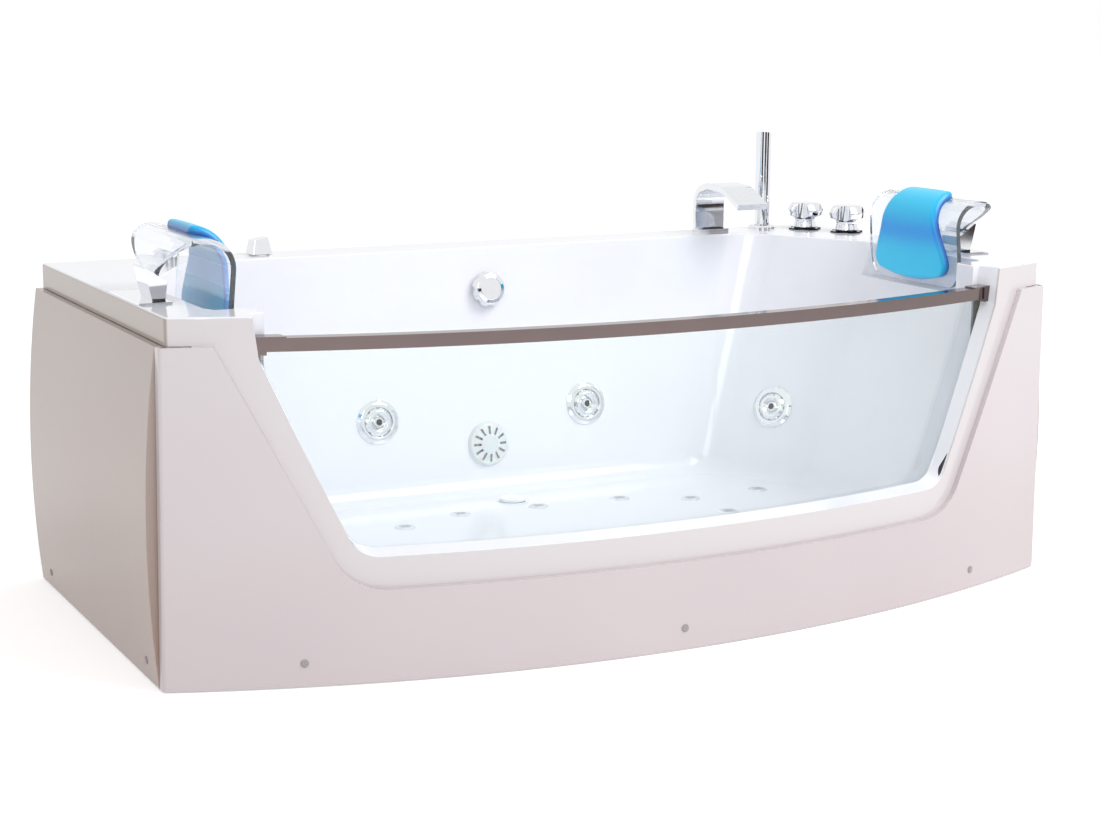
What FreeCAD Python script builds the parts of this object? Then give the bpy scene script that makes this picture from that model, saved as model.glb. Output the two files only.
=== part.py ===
"""Jetted bathtub with a bowed glass front, as separate pieces in millimetres.

The origin is the middle of the bounding box on the floor. X runs along the tub, the glass
front faces -Y and +Z is up. Each sub-part is written to parts/NODE.step.
"""

import FreeCAD, Part
import math
import os

V = FreeCAD.Vector
UP = V(0, 0, 1)
BACK = V(0, 1, 0)
RIGHT = V(1, 0, 0)

# ---------------------------------------------------------------- driving dimensions

# Overall form
OVERALL_LENGTH = 1800.0      # over the bulge of the two end panels
OVERALL_DEPTH = 940.0        # wall edge of the deck to the crown of the bowed front
DECK_HEIGHT = 608.0          # floor to the top of the deck
FRONT_BOW = 167.0            # rise of the front arc between the two front corners
PANEL_BULGE = 22.0           # how far an end panel swells beyond its top edge
PANEL_FOOT_OUT = 8.0         # how far an end panel stands out at the bottom
END_STEP = 13.0              # step from the deck band out to an end panel
FRONT_STEP = 12.0            # step from the deck band out to the front apron
FLOOR_GAP = 3.0              # panels hang clear of the floor
HALF_LENGTH = OVERALL_LENGTH / 2
WALL_Y = OVERALL_DEPTH / 2
FRONT_Y = -OVERALL_DEPTH / 2
TOUCH = 0.01                 # places closer than this count as the same

# Acrylic shell
SHELL_WALL = 6.0
BAND_HEIGHT = 45.5           # turned-down edge of the deck
DECK_CORNER = 8.0
DECK_EDGE = 4.0
RIM_ROUND = 3.0              # rounded rim of the basin
FLOOR_Z = 120.0              # inside floor of the basin
BACK_RIM = WALL_Y - 105.0    # back wall of the basin at deck level
BACK_SLOPE = 0.14            # inward run per millimetre of drop
SHOULDER_ANGLE = 30.0        # direction of the slanting shoulder wall, degrees from the X axis
SHOULDER_INSET = 57.4        # that wall, in from the end along its own normal
SHOULDER_SLOPE = 0.33
END_RIM = HALF_LENGTH - 132.0     # end wall, the backrest
END_SLOPE = 0.36
BACK_CORNER = 110.0
SHOULDER_CORNER = 150.0
FLOOR_ROUND = 42.0
CORNER_TAPER = 0.45          # share of its radius that a corner would lose at the floor line
FRONT_INSIDE = 58.0          # inside face of the front wall, set back from the apron face
BLOCK_HALF = HALF_LENGTH - 196.0  # inner side of the deck block beside the glass
BLOCK_BACK = FRONT_Y + 225.0      # back face of that block
BLOCK_CORNER = 12.0
BAY_HALF = HALF_LENGTH - 124.0    # upright recess behind each headrest
BAY_BACK = WALL_Y - 365.0
BAY_FLOOR = DECK_HEIGHT - 68.0
BAY_CORNER = 30.0

# Window in the front wall
SILL_Z = 210.0
SILL_SLOPE = 0.24            # rise of the sill per millimetre of depth
SILL_HALF = HALF_LENGTH - 351.0
SHOULDER_Z = DECK_HEIGHT - 72.0   # where the slanting side turns upright
SHOULDER_HALF = HALF_LENGTH - 173.0
MOUTH_HALF = HALF_LENGTH - 163.0  # half width at deck level
SIDE_FLARE = 0.345           # widening of the opening per millimetre outward
WINDOW_CORNER = 55.0
SEAT_DEPTH = 46.0            # face that the glass seal sits on, back from the apron face
SEAT_WIDTH = 22.0            # lap of the glass behind the window edge
SEAT_RIM = 8.0
SEAT_WALL = 6.0
SEALANT = 2.0                # gap round the glass, filled by the seal

# Glass, seal and rail
GLASS_THICK = 8.0
GLASS_TOP = DECK_HEIGHT - 48.0
SEAL_THICK = 2.0
RAIL_FRONT = 32.0            # front face of the rail, back from the apron face
RAIL_WIDTH = 26.0
RAIL_HEIGHT = 22.0
RAIL_TOP = DECK_HEIGHT - 38.0
RAIL_SHEET = 1.5
BRACKET_SHEET = 2.5
BRACKET_REACH = 30.0
BRACKET_LIP = 5.0

# Front apron and end panels
APRON_WALL = 4.0
APRON_EDGE_TOP = HALF_LENGTH - 101.0    # half width of its cut-out under the deck band
APRON_EDGE_SILL = HALF_LENGTH - 304.0
APRON_SILL_Z = 157.0
APRON_CORNER = 100.0
APRON_ROUND = 2.5
APRON_CORNER_ROUND = 7.5
APRON_SIDE = 20.0            # side flange seen beside the end panel
FLANGE = 26.0                # stiffening flanges inside the panels
BORDER_LAP = 25.0            # window border that runs on behind the apron
PANEL_WALL = 3.5
PANEL_GAP = 1.0
BAND_GAP = 1.0

# Cover screws
CAP_RADIUS = 7.0
CAP_HEIGHT = 2.0
CAP_SHAPE = [(1.0, 0.4), (0.7, 0.9)]      # shares of the cap's radius and height
SCREW_RADIUS = 2.2
SCREW_LENGTH = 14.0
FRONT_SCREWS = [(228.0 - HALF_LENGTH, 42.0), (-15.0, 40.0), (HALF_LENGTH - 229.0, 38.0)]   # x, z
SIDE_SCREWS = [(WALL_Y - 78.0, 32.0), (FRONT_Y + 249.0, 35.0)]                             # y, z

# Support frame and feet
TUBE = 30.0
TUBE_WALL = 2.0
FRAME_Z = 50.0               # underside of the base tubes
RAIL_Y = 150.0               # the two long base tubes
POST_X = HALF_LENGTH - 65.0
POST_BACK_Y = WALL_Y - 40.0
POST_FRONT_Y = FRONT_Y + 255.0
PAD_HALF = 22.0
PADS = [(-400.0, 1), (400.0, 1), (-380.0, -1), (0.0, -1), (380.0, -1)]   # x, side
FEET_INNER_X = 300.0         # feet under the long tubes
FEET_OUTER_Y = [WALL_Y - 140.0, FRONT_Y + 310.0]
PAD_HEIGHT = 34.0            # frame top to the underside of the basin
FOOT_RADIUS = 15.0
FOOT_DISC = 8.0
FOOT_EDGE = 4.0
STUD_UP = 18.0               # how far the stud reaches into the frame tube
STUD_RADIUS = 6.0
NUT_ACROSS = 19.0
NUT_HEIGHT = 9.0
TAB_HALF = 15.0              # half width of a panel bracket
TAB_SHEET = 3.0
TAB_BELOW = 12.0             # how far the tab reaches below its screw
BAR_THICK = 5.0
FRONT_BAR_BACK = 1.0         # bars stop short of the panel behind the tab
SIDE_BAR_BACK = 2.0
STUD_CLEAR = 0.05
WALL_HOLE_CLEAR = 0.5

# Water jets: place of each centre on the wall
JET_LEFT_X = -253.0
JET_CENTRE_X = 210.0
JET_BACK_Z = 279.0
JET_RIGHT_Y = WALL_Y - 274.95
JET_RIGHT_Z = 261.0
JET_FLANGE_RADIUS = 44.0
JET_FLANGE_THICK = 7.0
JET_FLANGE_EDGE = 2.0
JET_FLANGE_LAND = 7.0
JET_FLANGE_ROUNDS = [0, 0, 1.5, 6.0, 1.2]
JET_NECK = 24.0
JET_BODY_DEPTH = 74.0
JET_BODY_WALL = 4.0
JET_LIP_RADIUS = 28.0
JET_LIP = 1.5
JET_NUT_RADIUS = 40.0
JET_NUT_THICK = 12.0
NUT_GRIPS = 8
NUT_GRIP_RADIUS = 4.0
JET_RING_RADIUS = 29.0
JET_RING_DEEP = 12.0
JET_RING_PROUD = 11.0
JET_RING_LOBES = 8
JET_LOBE_RADIUS = 5.0
JET_RING_EDGE = 3.5
JET_RING_BEVEL = 6.5
JET_RING_DISH = 2.0          # the dished face starts this far inside the neck
JET_RING_ROUNDS = [0, 0, 0, 0.6, 2.0, 2.5, 1.0, 0, 0]
SOCKET_LIP = 2.5             # the socket's mouth is smaller than the ball by this
SOCKET_BACK = 2.0
SOCKET_FRONT = 7.0           # mouth of the socket, out from the ball's centre
JET_BALL = 14.0
JET_BALL_Z = -2.0            # centre of the ball, out from the wall
JET_HOLE = 5.0
JET_BALL_FRONT = 0.8         # where the ball is cut off, as shares of its radius
JET_BALL_REAR = 0.7
JET_MOUTH_FLARE = 1.5
JET_MOUTH_DEEP = 3.0
BALL_CLEAR = 0.3
TURN_CLEAR = 0.06            # radial running clearance of every turning neck
FACE_CLEAR = 0.4             # clearance between faces that pass each other
PORT_RADIUS = 11.0
PORT_DEPTH = 56.0            # water port, behind the wall
PORT_REACH = 44.0
AIR_PORT_RADIUS = 7.0
AIR_PORT_DEPTH = 26.0
AIR_PORT_REACH = 32.0
PORT_WALL = 2.0

# Suction, overflow and drain
SUCTION_X = -16.0
SUCTION_Z = 216.0
SUCTION_RADIUS = 45.0
SUCTION_DOME = 13.0
SUCTION_SLOTS = 12
COVER_WALL = 2.5
COVER_EDGE = 4.0
COVER_FALL = 5.0             # drop from the flat centre to the shoulder
COVER_FLAT = 0.38            # shares of the cover's radius
SLOT_FROM = 0.45
SLOT_TO = 0.80
SLOT_WIDTH = 5.0
COVER_ROUNDS = [0, 3.0, 5.0, 0.5, 0, 0, 3.0, 3.0, 0]
BODY_DEPTH = 45.0            # suction and overflow bodies behind the wall
SUCTION_RUN = 60.0
SUCTION_TURN = 67.5          # depth of the slanting run to the pump inlet
OVERFLOW_X = 0.0
OVERFLOW_Z = DECK_HEIGHT - 84.0
OVERFLOW_RADIUS = 36.5
OVERFLOW_STANDOFF = 6.0
OVERFLOW_KNOB = 18.0         # thickness of the knob
OVERFLOW_FACETS = 8
KNOB_UNDERCUT = 3.0
KNOB_SKIRT = 5.0
KNOB_BEVEL = (7.0, 2.0)      # corners of the knob's face, in from its radius and its top
KNOB_FACE = 14.0
KNOB_ROUNDS = [0, 1.5, 2.5, 3.0, 4.0, 0]
FACET_OFFSET = 8.0
FACET_RADIUS = 12.0
SPINDLE_DEEP = 14.0
HUB_WALL = 3.0
HUB_DEPTH = 10.0
RIBS = 3
RIB_THICK = 3.0
RIB_SUNK = 0.5
SPINDLE_RADIUS = 5.0
OVERFLOW_PIPE_RADIUS = 16.0
OVERFLOW_PIPE_BORE = 13.5
OVERFLOW_PIPE_Y = WALL_Y - 25.0
OVERFLOW_PIPE_TURN = 60.0    # where it turns along the floor, in front of its drop
OVERFLOW_PIPE_BEND = 30.0
DRAIN_X = -13.0
DRAIN_Y = WALL_Y - 265.0
DRAIN_RADIUS = 32.0
DRAIN_NECK = 24.0
DRAIN_DEPTH = 36.0
DRAIN_LIP = 1.0
DRAIN_BEVEL = 2.0
DRAIN_HUB = (-20.0, -12.0)   # z span of the spider under the floor
DRAIN_NUT_WALL = 9.0
PLUG_RADIUS = 27.0
PLUG_THICK = 4.0
PLUG_EDGE = 2.4
PLUG_BEVEL = 4.0
PLUG_STEM = 4.0
TRAP_RADIUS = 34.0
TRAP_LOW = 16.0
TRAP_TOP = 70.0
TRAP_WALL = 3.0
TRAP_SIDE = 120.0            # sideways run of the waste before it turns to the wall
TRAP_ARM = 20.0
TRAP_ARM_BORE = 17.0
TRAP_COLLAR = 8.0            # lap of the collar over the drain's tail
TRAP_SHORT = 15.0            # the waste ends this far short of the wall
TRAP_INLET = 18.0            # socket for the overflow pipe
TRAP_INLET_WALL = 2.0

# Floor air jets: place of each outlet on the floor
FLOOR_JETS = [(-290.97, 99.0), (-153.99, 147.0), (10.98, 140.0), (187.02, 129.0),
              (315.0, 67.0), (478.98, 76.0), (324.99, -59.0), (160.02, -110.0),
              (-19.98, -112.0), (-199.98, -75.0)]
AIR_CAP_RADIUS = 20.0
AIR_CAP_THICK = 2.5
AIR_CAP_EDGE = 0.8
AIR_CAP_SHOULDER = (3.0, 2.2)
AIR_CAP_SLOTS = 3
AIR_SLOT_HALF = 10.0
AIR_SLOT_WIDTH = 2.0
AIR_SLOT_STEP = 6.0
AIR_SLOT_FLOOR = 1.0
AIR_STEM_BELOW = 6.0
AIR_STEM_RADIUS = 6.0
AIR_CUP_RADIUS = 13.0
AIR_CUP_DEPTH = 26.0
AIR_CUP_FLOOR = 3.0
AIR_STEM_BORE = 4.0
AIR_SPINE_Y = 20.0
AIR_HOSE_RADIUS = 7.0
AIR_HOSE_BORE = 5.0
AIR_BRANCH_RADIUS = 6.0
AIR_BRANCH_BORE = 4.0

# Deck fittings: (x, y) on the deck
AIR_KNOB_AT = (448.0 - HALF_LENGTH, WALL_Y - 42.0)
POWER_BUTTON_AT = (268.0 - HALF_LENGTH, WALL_Y - 42.0)
SPOUT_X = HALF_LENGTH - 331.0
SPOUT_NECK_Y = WALL_Y - 46.0
SHOWER_AT = (HALF_LENGTH - 196.0, WALL_Y - 40.0)
HOT_TAP_AT = (HALF_LENGTH - 117.0, WALL_Y - 90.0)
COLD_TAP_AT = (HALF_LENGTH - 70.0, WALL_Y - 180.0)
DECK_NECK = 14.0             # threaded neck of the valves and of the button
NECK_LENGTH = 40.0
NECK_LIP = 2.0
NECK_LIP_RADIUS = 20.0
DECK_NUT_THICK = 10.0
NUT_WALL = 7.0
KNOB_HEIGHT = 33.0
KNOB_BASE = 43.0
KNOB_TOP = 30.0
KNOB_ROUND = 5.0
KNOB_SLANT = 9.0             # slope of the top, degrees
KNOB_SLANT_DROP = 4.0
KNOB_TOOL = 80.0
SPINDLE_SHORT = 4.0          # a spindle ends this far above the foot of its neck
STEM_SHORT = 12.0            # the same for the taps and the button
BUTTON_RADIUS = 17.0
BUTTON_PROUD = 7.0
BUTTON_TRAVEL = 3.0
BEZEL_RADIUS = 25.0
BEZEL_HEIGHT = 16.0
BEZEL_BEVEL = 3.0
BUTTON_EDGE = (5.0, 3.0)     # in from the radius, down from the top
BUTTON_DISH = 1.0
SPOUT_WIDTH = 72.0
SPOUT_THICK = 13.0
SPOUT_NECK = 12.0
SPOUT_SHAPE = [(30.0, 0.0), (30.0, 92.0), (85.0, 108.0), (150.0, 104.0),
               (215.0, 72.0)]          # outer face: in from the wall, above the deck
SPOUT_BENDS = [0.0, 45.0, 60.0, 60.0, 0.0]
SPOUT_FOOT = 6.0
SPOUT_EDGE = 1.5
SHOWER_RADIUS = 17.0
SHOWER_TOP = DECK_HEIGHT + 212.0
SHOWER_SPIGOT = 12.0
SPIGOT_LENGTH = 40.0
SPIGOT_SHORT = 4.0
SHOWER_SLANT = 5.0           # slope of its top, degrees
SHOWER_SLANT_DROP = 3.0
SOCKET_FLOOR = 6.0
SOCKET_BEVEL = 4.0
SOCKET_RADIUS = 30.0
SOCKET_HEIGHT = 8.0
TAP_RADIUS = 40.0
TAP_TOP = 58.0               # above the deck
TAP_LOBES = 4
TAP_SKIRT_ROUNDS = [0, 3.0, 8.0, 5.0, 6.0, 10.0, 0]
TAP_FOOT = 26.0
TAP_WAIST = (21.0, 24.0)     # radius, height
TAP_UNDER = (36.0, 30.0)
TAP_EDGE_Z = 42.0
TAP_CROWN = 30.0
TAP_FLUTE = 18.0
TAP_FLUTE_OUT = 4.0
PLATE_IN = 5.0               # the plate is smaller than the handle by this
PLATE_NOTCH = 16.0
PLATE_NOTCH_OUT = 8.0
TAP_PLATE = 3.0
VALVE_RADIUS = 17.0
VALVE_LENGTH = 72.0
VALVE_FLOOR = 8.0            # floor of the spindle bore, up from the end of the neck
TAIL_RADIUS = 7.5
TAIL_BORE = 5.0
TAIL_OFFSET = 26.0           # the supply tail stands beside the valve
ELBOW_RADIUS = 9.0
ELBOW_BEND = 10.0
ELBOW_COLLAR = 12.0
TAIL_LENGTH = 34.0           # straight end of the tail
HOT_TAIL_TURN = 45.0         # degrees that the hot valve's tail is turned towards the front
MIXER_PIPE = 8.0
MIXER_BORE = 6.0

# Headrests, measured on the right-hand one; the left-hand one is its mirror image
BAND_FRONT_Y = BLOCK_BACK + 20.0
BAND_BACK_Y = BAY_BACK - 48.0
BAND_THICK = 9.0
BAND_SHAPE = [(168.0, -58.0), (183.0, 112.0), (72.0, 112.0),
              (74.0, 8.0)]             # outer face: in from the end, above the deck
BAND_BEND = 50.0
BAND_TAPER_X = HALF_LENGTH - 107.0     # the band narrows from here to the clamp
BAND_NECK = 44.0
BAND_NECK_Z = DECK_HEIGHT + 42.0
BAND_NECK_ROUND = 50.0
BAND_SHOULDER_ROUND = 30.0
BAND_TIP_ROUND = 40.0
PAD_INSET = 27.0                       # sides of the pad, in from the edges of the band
PAD_THICK = 15.0
PAD_START = 8.0                        # lower end of the pad, up from the end of the band
PAD_END_X = HALF_LENGTH - 126.0
PAD_SIT = 0.3
PAD_WIDTHS = [0.75, 0.95, 1.0, 0.965, 0.92, 0.86, 0.807, 0.763, 0.72, 0.675, 0.64, 0.605, 0.51]
PAD_HEIGHTS = [0.35, 0.80, 1.0, 1.0, 1.0, 1.0, 1.0, 1.0, 1.0, 1.0, 0.95, 0.75, 0.30]
PAD_EDGE_IN = 2.0                      # foot of the pad's rounded side
PAD_SIDE_IN = 0.5
PAD_SHOULDER_IN = 9.0
PAD_SIDE_RISE = 0.45                   # shares of the thickness there
PAD_SHOULDER_RISE = 0.85
CLAMP_LENGTH = 64.0
CLAMP_SHIFT = -13.0                    # the clamp sits nearer the front than the band
CLAMP_SHAPE = [(89.0, 3.0), (67.0, 3.0), (54.0, 60.0), (93.0, 33.0)]
CLAMP_ROUND = 2.0
PLATE_THICK = 3.0
PLATE_INSETS = (94.0, 38.0)            # its two long sides, in from the end
PLATE_REACH = (-66.0, 104.0)           # its ends, from the middle of the band

# Pump, blower and pipes
PUMP_X = 138.0 - HALF_LENGTH
PUMP_Z = 168.0
MOTOR_RADIUS = 66.0
MOTOR_LENGTH = 200.0
MOTOR_CAP = [(12.0, 0.0), (6.0, 8.0), (6.0, 40.0), (0.0, 40.0)]   # in from the radius, along
TERMINAL_HALF = 35.0
TERMINAL_RISE = 28.0
TERMINAL_SPAN = (60.0, 130.0)
MOTOR_BORE = 120.0           # depth of the shaft's bore
MOTOR_BACK_Y = -110.0
VOLUTE_RADIUS = 72.0
VOLUTE_LENGTH = 62.0
VOLUTE_WALL = 6.0
VOLUTE_ROOM = 10.0           # radial room round the impeller
SHAFT_RADIUS = 7.0
IMPELLER_RADIUS = 48.0
IMPELLER_THICK = 28.0
IMPELLER_DISC = 5.0
VANES = 6
VANE_THICK = 4.0
VANE_SHORT = 4.0
IMPELLER_HUB = 6.0           # wall of the hub round the shaft
HUB_SHORT = 4.0
SHAFT_LENGTH = 100.0         # of shaft inside the motor
DISCHARGE_X = -50.0          # from the pump axis
DISCHARGE_TOP = 95.0
MACHINE_PLATE = 4.0
PUMP_PLATE = (-58.0, 62.0)   # its sides, from the pump's axis
SADDLE_HALF = 45.0
SADDLE_LONG = 20.0
SADDLES = (45.0, 165.0)      # along the motor
SADDLE_TOP = 20.0            # below the motor's axis
BLOWER_PLATE = (-60.0, 55.0)
BLOWER_AT = (HALF_LENGTH - 138.0, 20.0)
BLOWER_RADIUS = 70.0
BLOWER_HEIGHT = 120.0
BLOWER_DOME = (20.0, 30.0)   # in from the radius, down from the top
BLOWER_BASE = 4.0
BLOWER_LID = 20.0            # solid above the shaft's bore
FAN_RADIUS = 55.0
FAN_THICK = 30.0
FAN_ROOM = 8.0
FAN_HEADROOM = 16.0
FAN_Z = 12.0                 # disc of the fan, above the plate
FAN_DISC = 3.0
FAN_BLADES = 12
BLADE_THICK = 2.0
BLADE_FROM = 33.0            # inner end of a blade
BLADE_SHORT = 1.0
FAN_SHAFT = 75.0
BOX_SPAN = [(HALF_LENGTH - 120.0, 168.0, FRAME_Z + TUBE),
            (HALF_LENGTH - 52.0, 262.0, 210.0)]    # control box, two corners
BOX_EDGE = 4.0
GLAND_RADIUS = 8.0
GLAND_BORE = 4.0
GLAND_LENGTH = 14.0
GLAND_DEEP = 5.0
GLAND_X = HALF_LENGTH - 100.0
GLAND_Z = 150.0
PIPE_RADIUS = 22.0
PIPE_BORE = 19.0
MAIN_RADIUS = 16.0
MAIN_BORE = 13.5
MAIN_PAST = 16.5             # the main runs on past its last tee, to a plug
MAIN_PLUG = 3.3
AIR_PIPE_RADIUS = 8.0
AIR_PIPE_BORE = 6.0
AIR_END_BORE = 5.0
PIPE_BEND = 45.0
AIR_BEND = 25.0
MAIN_Z = 352.0
MAIN_TURN_X = HALF_LENGTH - 340.0
AIR_Z = 322.0
AIR_TURN_X = HALF_LENGTH - 360.0

# ---------------------------------------------------------------- derived places

PANEL_TOP_HALF = HALF_LENGTH - PANEL_BULGE
DECK_HALF = PANEL_TOP_HALF - END_STEP
BAND_Z = DECK_HEIGHT - BAND_HEIGHT
MIXER_Z = DECK_HEIGHT - (VALVE_LENGTH + NECK_LENGTH) / 2     # level of the brass pipes
BOW_RADIUS = (PANEL_TOP_HALF ** 2 + FRONT_BOW ** 2) / (2 * FRONT_BOW)
BOW_CENTRE_Y = FRONT_Y + BOW_RADIUS
SHOULDER_RIM = HALF_LENGTH * math.cos(math.radians(SHOULDER_ANGLE)) - SHOULDER_INSET
SPOUT_OUTLINE = [(WALL_Y - inset, DECK_HEIGHT + rise) for inset, rise in SPOUT_SHAPE]
BAND_OUTLINE = [(HALF_LENGTH - inset, DECK_HEIGHT + rise) for inset, rise in BAND_SHAPE]
CLAMP_OUTLINE = [(HALF_LENGTH - inset, DECK_HEIGHT + rise) for inset, rise in CLAMP_SHAPE]
HEADREST_Y = (BAND_FRONT_Y + BAND_BACK_Y) / 2
BAND_WIDTH = BAND_BACK_Y - BAND_FRONT_Y
PAD_WIDTH = BAND_WIDTH - 2 * PAD_INSET
FAR = 1.2 * HALF_LENGTH      # beyond every edge, for cutting tools
WIDE = 1.05 * HALF_LENGTH    # half width of curved cutting tools
NODES = {}


# ---------------------------------------------------------------- drawing tools

def keep(name, *solids):
    """Store the solids of one sub-part under its node name."""
    shape = solids[0] if len(solids) == 1 else Part.makeCompound(list(solids))
    NODES[name] = shape
    return shape


def one(shape):
    """The single solid of a boolean result, with its seams merged."""
    return shape.removeSplitter().Solids[0]


def box(x0, x1, y0, y1, z0, z1):
    return Part.makeBox(x1 - x0, y1 - y0, z1 - z0, V(x0, y0, z0))


def rod(radius, start, end):
    return Part.makeCylinder(radius, (end - start).Length, start, end - start)


def mirrored(shape):
    """The same piece on the other end of the tub."""
    return shape.mirror(V(0, 0, 0), RIGHT)


def facing(origin, axis, side=RIGHT):
    """Placement with local +Z along axis and local +X near side."""
    z = V(axis).normalize()
    y = z.cross(side).normalize()
    x = y.cross(z)
    turn = FreeCAD.Matrix(x.x, y.x, z.x, origin.x, x.y, y.y, z.y, origin.y,
                          x.z, y.z, z.z, origin.z, 0, 0, 0, 1)
    return FreeCAD.Placement(turn)


def placed(shape, placement):
    moved = shape.copy()
    moved.Placement = placement.multiply(shape.Placement)
    return moved


def turned(profile):
    """Solid of revolution about Z from a closed profile of (radius, height) points."""
    points = [V(r, 0, z) for r, z in profile]
    face = Part.Face(Part.makePolygon(points + points[:1]))
    return face.revolve(V(0, 0, 0), UP, 360)


def ringed(outer, inner, z0, z1):
    return turned([(inner, z0), (outer, z0), (outer, z1), (inner, z1)])


def ring_spots(count, radius, first=0.0):
    """Points evenly round a circle at z = 0; first is the share of a step to begin at."""
    turns = [2 * math.pi * (i + first) / count for i in range(count)]
    return [V(math.cos(turn), math.sin(turn), 0) * radius for turn in turns]


def spun(shape, count):
    """Copies of a shape turned evenly about Z."""
    return [shape.rotated(V(0, 0, 0), UP, 360.0 * i / count) for i in range(count)]


def line_past(p, q, shift):
    """The line through p and q moved to its right by shift, as (normal, distance)."""
    run, rise = q[0] - p[0], q[1] - p[1]
    length = math.hypot(run, rise)
    normal = (rise / length, -run / length)
    return normal, normal[0] * p[0] + normal[1] * p[1] + shift


def meet(first, second):
    (a, b), c = first
    (d, e), f = second
    det = a * e - b * d
    return (c * e - b * f) / det, (a * f - c * d) / det


def rounded_wire(points, radii, to_space):
    """Closed wire through flat points, each corner rounded by its radius."""
    count = len(points)
    edges = []
    starts = []
    ends = []
    for i, (point, radius) in enumerate(zip(points, radii)):
        before = points[i - 1]
        after = points[(i + 1) % count]
        p = V(point[0], point[1], 0)
        u = (V(before[0], before[1], 0) - p).normalize()
        w = (V(after[0], after[1], 0) - p).normalize()
        half = u.getAngle(w) / 2
        if radius > 0:
            reach = radius / math.tan(half)
            bisector = (u + w).normalize()
            middle = p + bisector * (radius / math.sin(half) - radius)
            starts.append(p + u * reach)
            ends.append(p + w * reach)
            arc = [to_space(q.x, q.y) for q in (starts[i], middle, ends[i])]
            edges.append(Part.Arc(*arc).toShape())
        else:
            starts.append(p)
            ends.append(p)
            edges.append(None)
    outline = []
    for i in range(count):
        if edges[i]:
            outline.append(edges[i])
        a = to_space(ends[i].x, ends[i].y)
        b = to_space(starts[(i + 1) % count].x, starts[(i + 1) % count].y)
        if (a - b).Length > TOUCH:
            outline.append(Part.LineSegment(a, b).toShape())
    return Part.Wire(outline)


def flat(height):
    return lambda a, b: V(a, b, height)


def along_x(x):
    return lambda a, b: V(x, a, b)


def along_y(y):
    return lambda a, b: V(a, y, b)


def turned_soft(profile, radii):
    """Solid of revolution about Z whose profile has rounded corners."""
    face = Part.Face(rounded_wire(profile, radii, along_y(0)))
    return face.revolve(V(0, 0, 0), UP, 360)


def prism(points, radii, z0, z1):
    """Upright prism with rounded corners."""
    return Part.Face(rounded_wire(points, radii, flat(z0))).extrude(V(0, 0, z1 - z0))


def front_y(x, depth):
    """Y of the front arc, set back by depth from the apron face."""
    radius = BOW_RADIUS - depth
    return BOW_CENTRE_Y - math.sqrt(radius ** 2 - x ** 2)


def bow_arc(half, depth, z):
    points = [V(x, front_y(x, depth), z) for x in (-half, 0, half)]
    return Part.Arc(*points).toShape()


def bow_slab(depth0, depth1, z0, z1, half=WIDE):
    """Curved slab that follows the front, between two set-backs."""
    near = bow_arc(half, depth0, z0)
    far = bow_arc(half, depth1, z0)
    ends = [Part.LineSegment(near.Vertexes[i].Point, far.Vertexes[i].Point).toShape()
            for i in (0, 1)]
    wire = Part.Wire([near, ends[1], far, ends[0]])
    return Part.Face(wire).extrude(V(0, 0, z1 - z0))


def behind_bow(depth, z0, z1):
    """Everything on the wall side of the front arc."""
    arc = bow_arc(WIDE, depth, z0)
    a, b = arc.Vertexes[0].Point, arc.Vertexes[1].Point
    corners = [b, V(b.x, FAR, z0), V(a.x, FAR, z0), a]
    sides = [Part.LineSegment(p, q).toShape() for p, q in zip(corners, corners[1:])]
    return Part.Face(Part.Wire([arc] + sides)).extrude(V(0, 0, z1 - z0))


# ---------------------------------------------------------------- acrylic shell

def basin_corners(z, grow):
    """Corners of the basin outline at height z, its walls moved outward by grow."""
    drop = DECK_HEIGHT - z
    slant = math.radians(SHOULDER_ANGLE)
    back = ((0, 1), BACK_RIM - BACK_SLOPE * drop + grow)
    shoulder = ((math.cos(slant), math.sin(slant)),
                SHOULDER_RIM - SHOULDER_SLOPE * drop + grow)
    end = ((1, 0), END_RIM - END_SLOPE * drop + grow)
    x1, y1 = meet(back, shoulder)
    x2, y2 = meet(shoulder, end)
    front = -FAR
    return [(x2, front), (x2, y2), (x1, y1), (-x1, y1), (-x2, y2), (-x2, front)]


def basin_wire(z, grow):
    drop = DECK_HEIGHT - z
    shrink = 1 - CORNER_TAPER * drop / DECK_HEIGHT
    back = BACK_CORNER * shrink + grow
    side = SHOULDER_CORNER * shrink + grow
    return rounded_wire(basin_corners(z, grow), [0, side, back, back, side, 0], flat(z))


def deck_blocks(grow, z0, z1):
    """The two blocks beside the glass that stand into the basin."""
    half = BLOCK_HALF + grow
    back = BLOCK_BACK - grow
    points = [(half, -FAR), (FAR, -FAR), (FAR, back), (half, back)]
    block = prism(points, [0, 0, 0, BLOCK_CORNER], z0, z1)
    return [block, mirrored(block)]


def bays(grow):
    """Upright recess behind each headrest."""
    half = BAY_HALF + grow
    inside = SHOULDER_HALF - BAND_WIDTH
    corner = BAY_CORNER + grow
    points = [(inside, BLOCK_BACK - grow), (half, BLOCK_BACK - grow),
              (half, BAY_BACK + grow), (inside, BAY_BACK + grow)]
    bay = prism(points, [0, corner, corner, 0], BAY_FLOOR - grow, DECK_HEIGHT)
    return [bay, mirrored(bay)]


def basin(grow):
    """Solid that fills the basin, walls and floor moved outward by grow."""
    low = FLOOR_Z - grow
    bowl = Part.makeLoft([basin_wire(low, grow), basin_wire(DECK_HEIGHT, grow)], True, True)
    bowl = bowl.common(behind_bow(FRONT_INSIDE - grow, low, DECK_HEIGHT))
    for block in deck_blocks(grow, low, DECK_HEIGHT):
        bowl = bowl.cut(block)
    bowl = one(bowl)
    floor = [e for e in bowl.Edges
             if abs(e.BoundBox.ZMax - low) < TOUCH and abs(e.BoundBox.ZMin - low) < TOUCH]
    bowl = bowl.makeFillet(FLOOR_ROUND + grow, floor)
    for bay in bays(grow):
        bowl = bowl.fuse(bay.common(behind_bow(FRONT_INSIDE - grow, low, DECK_HEIGHT)))
    return one(bowl)


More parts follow.
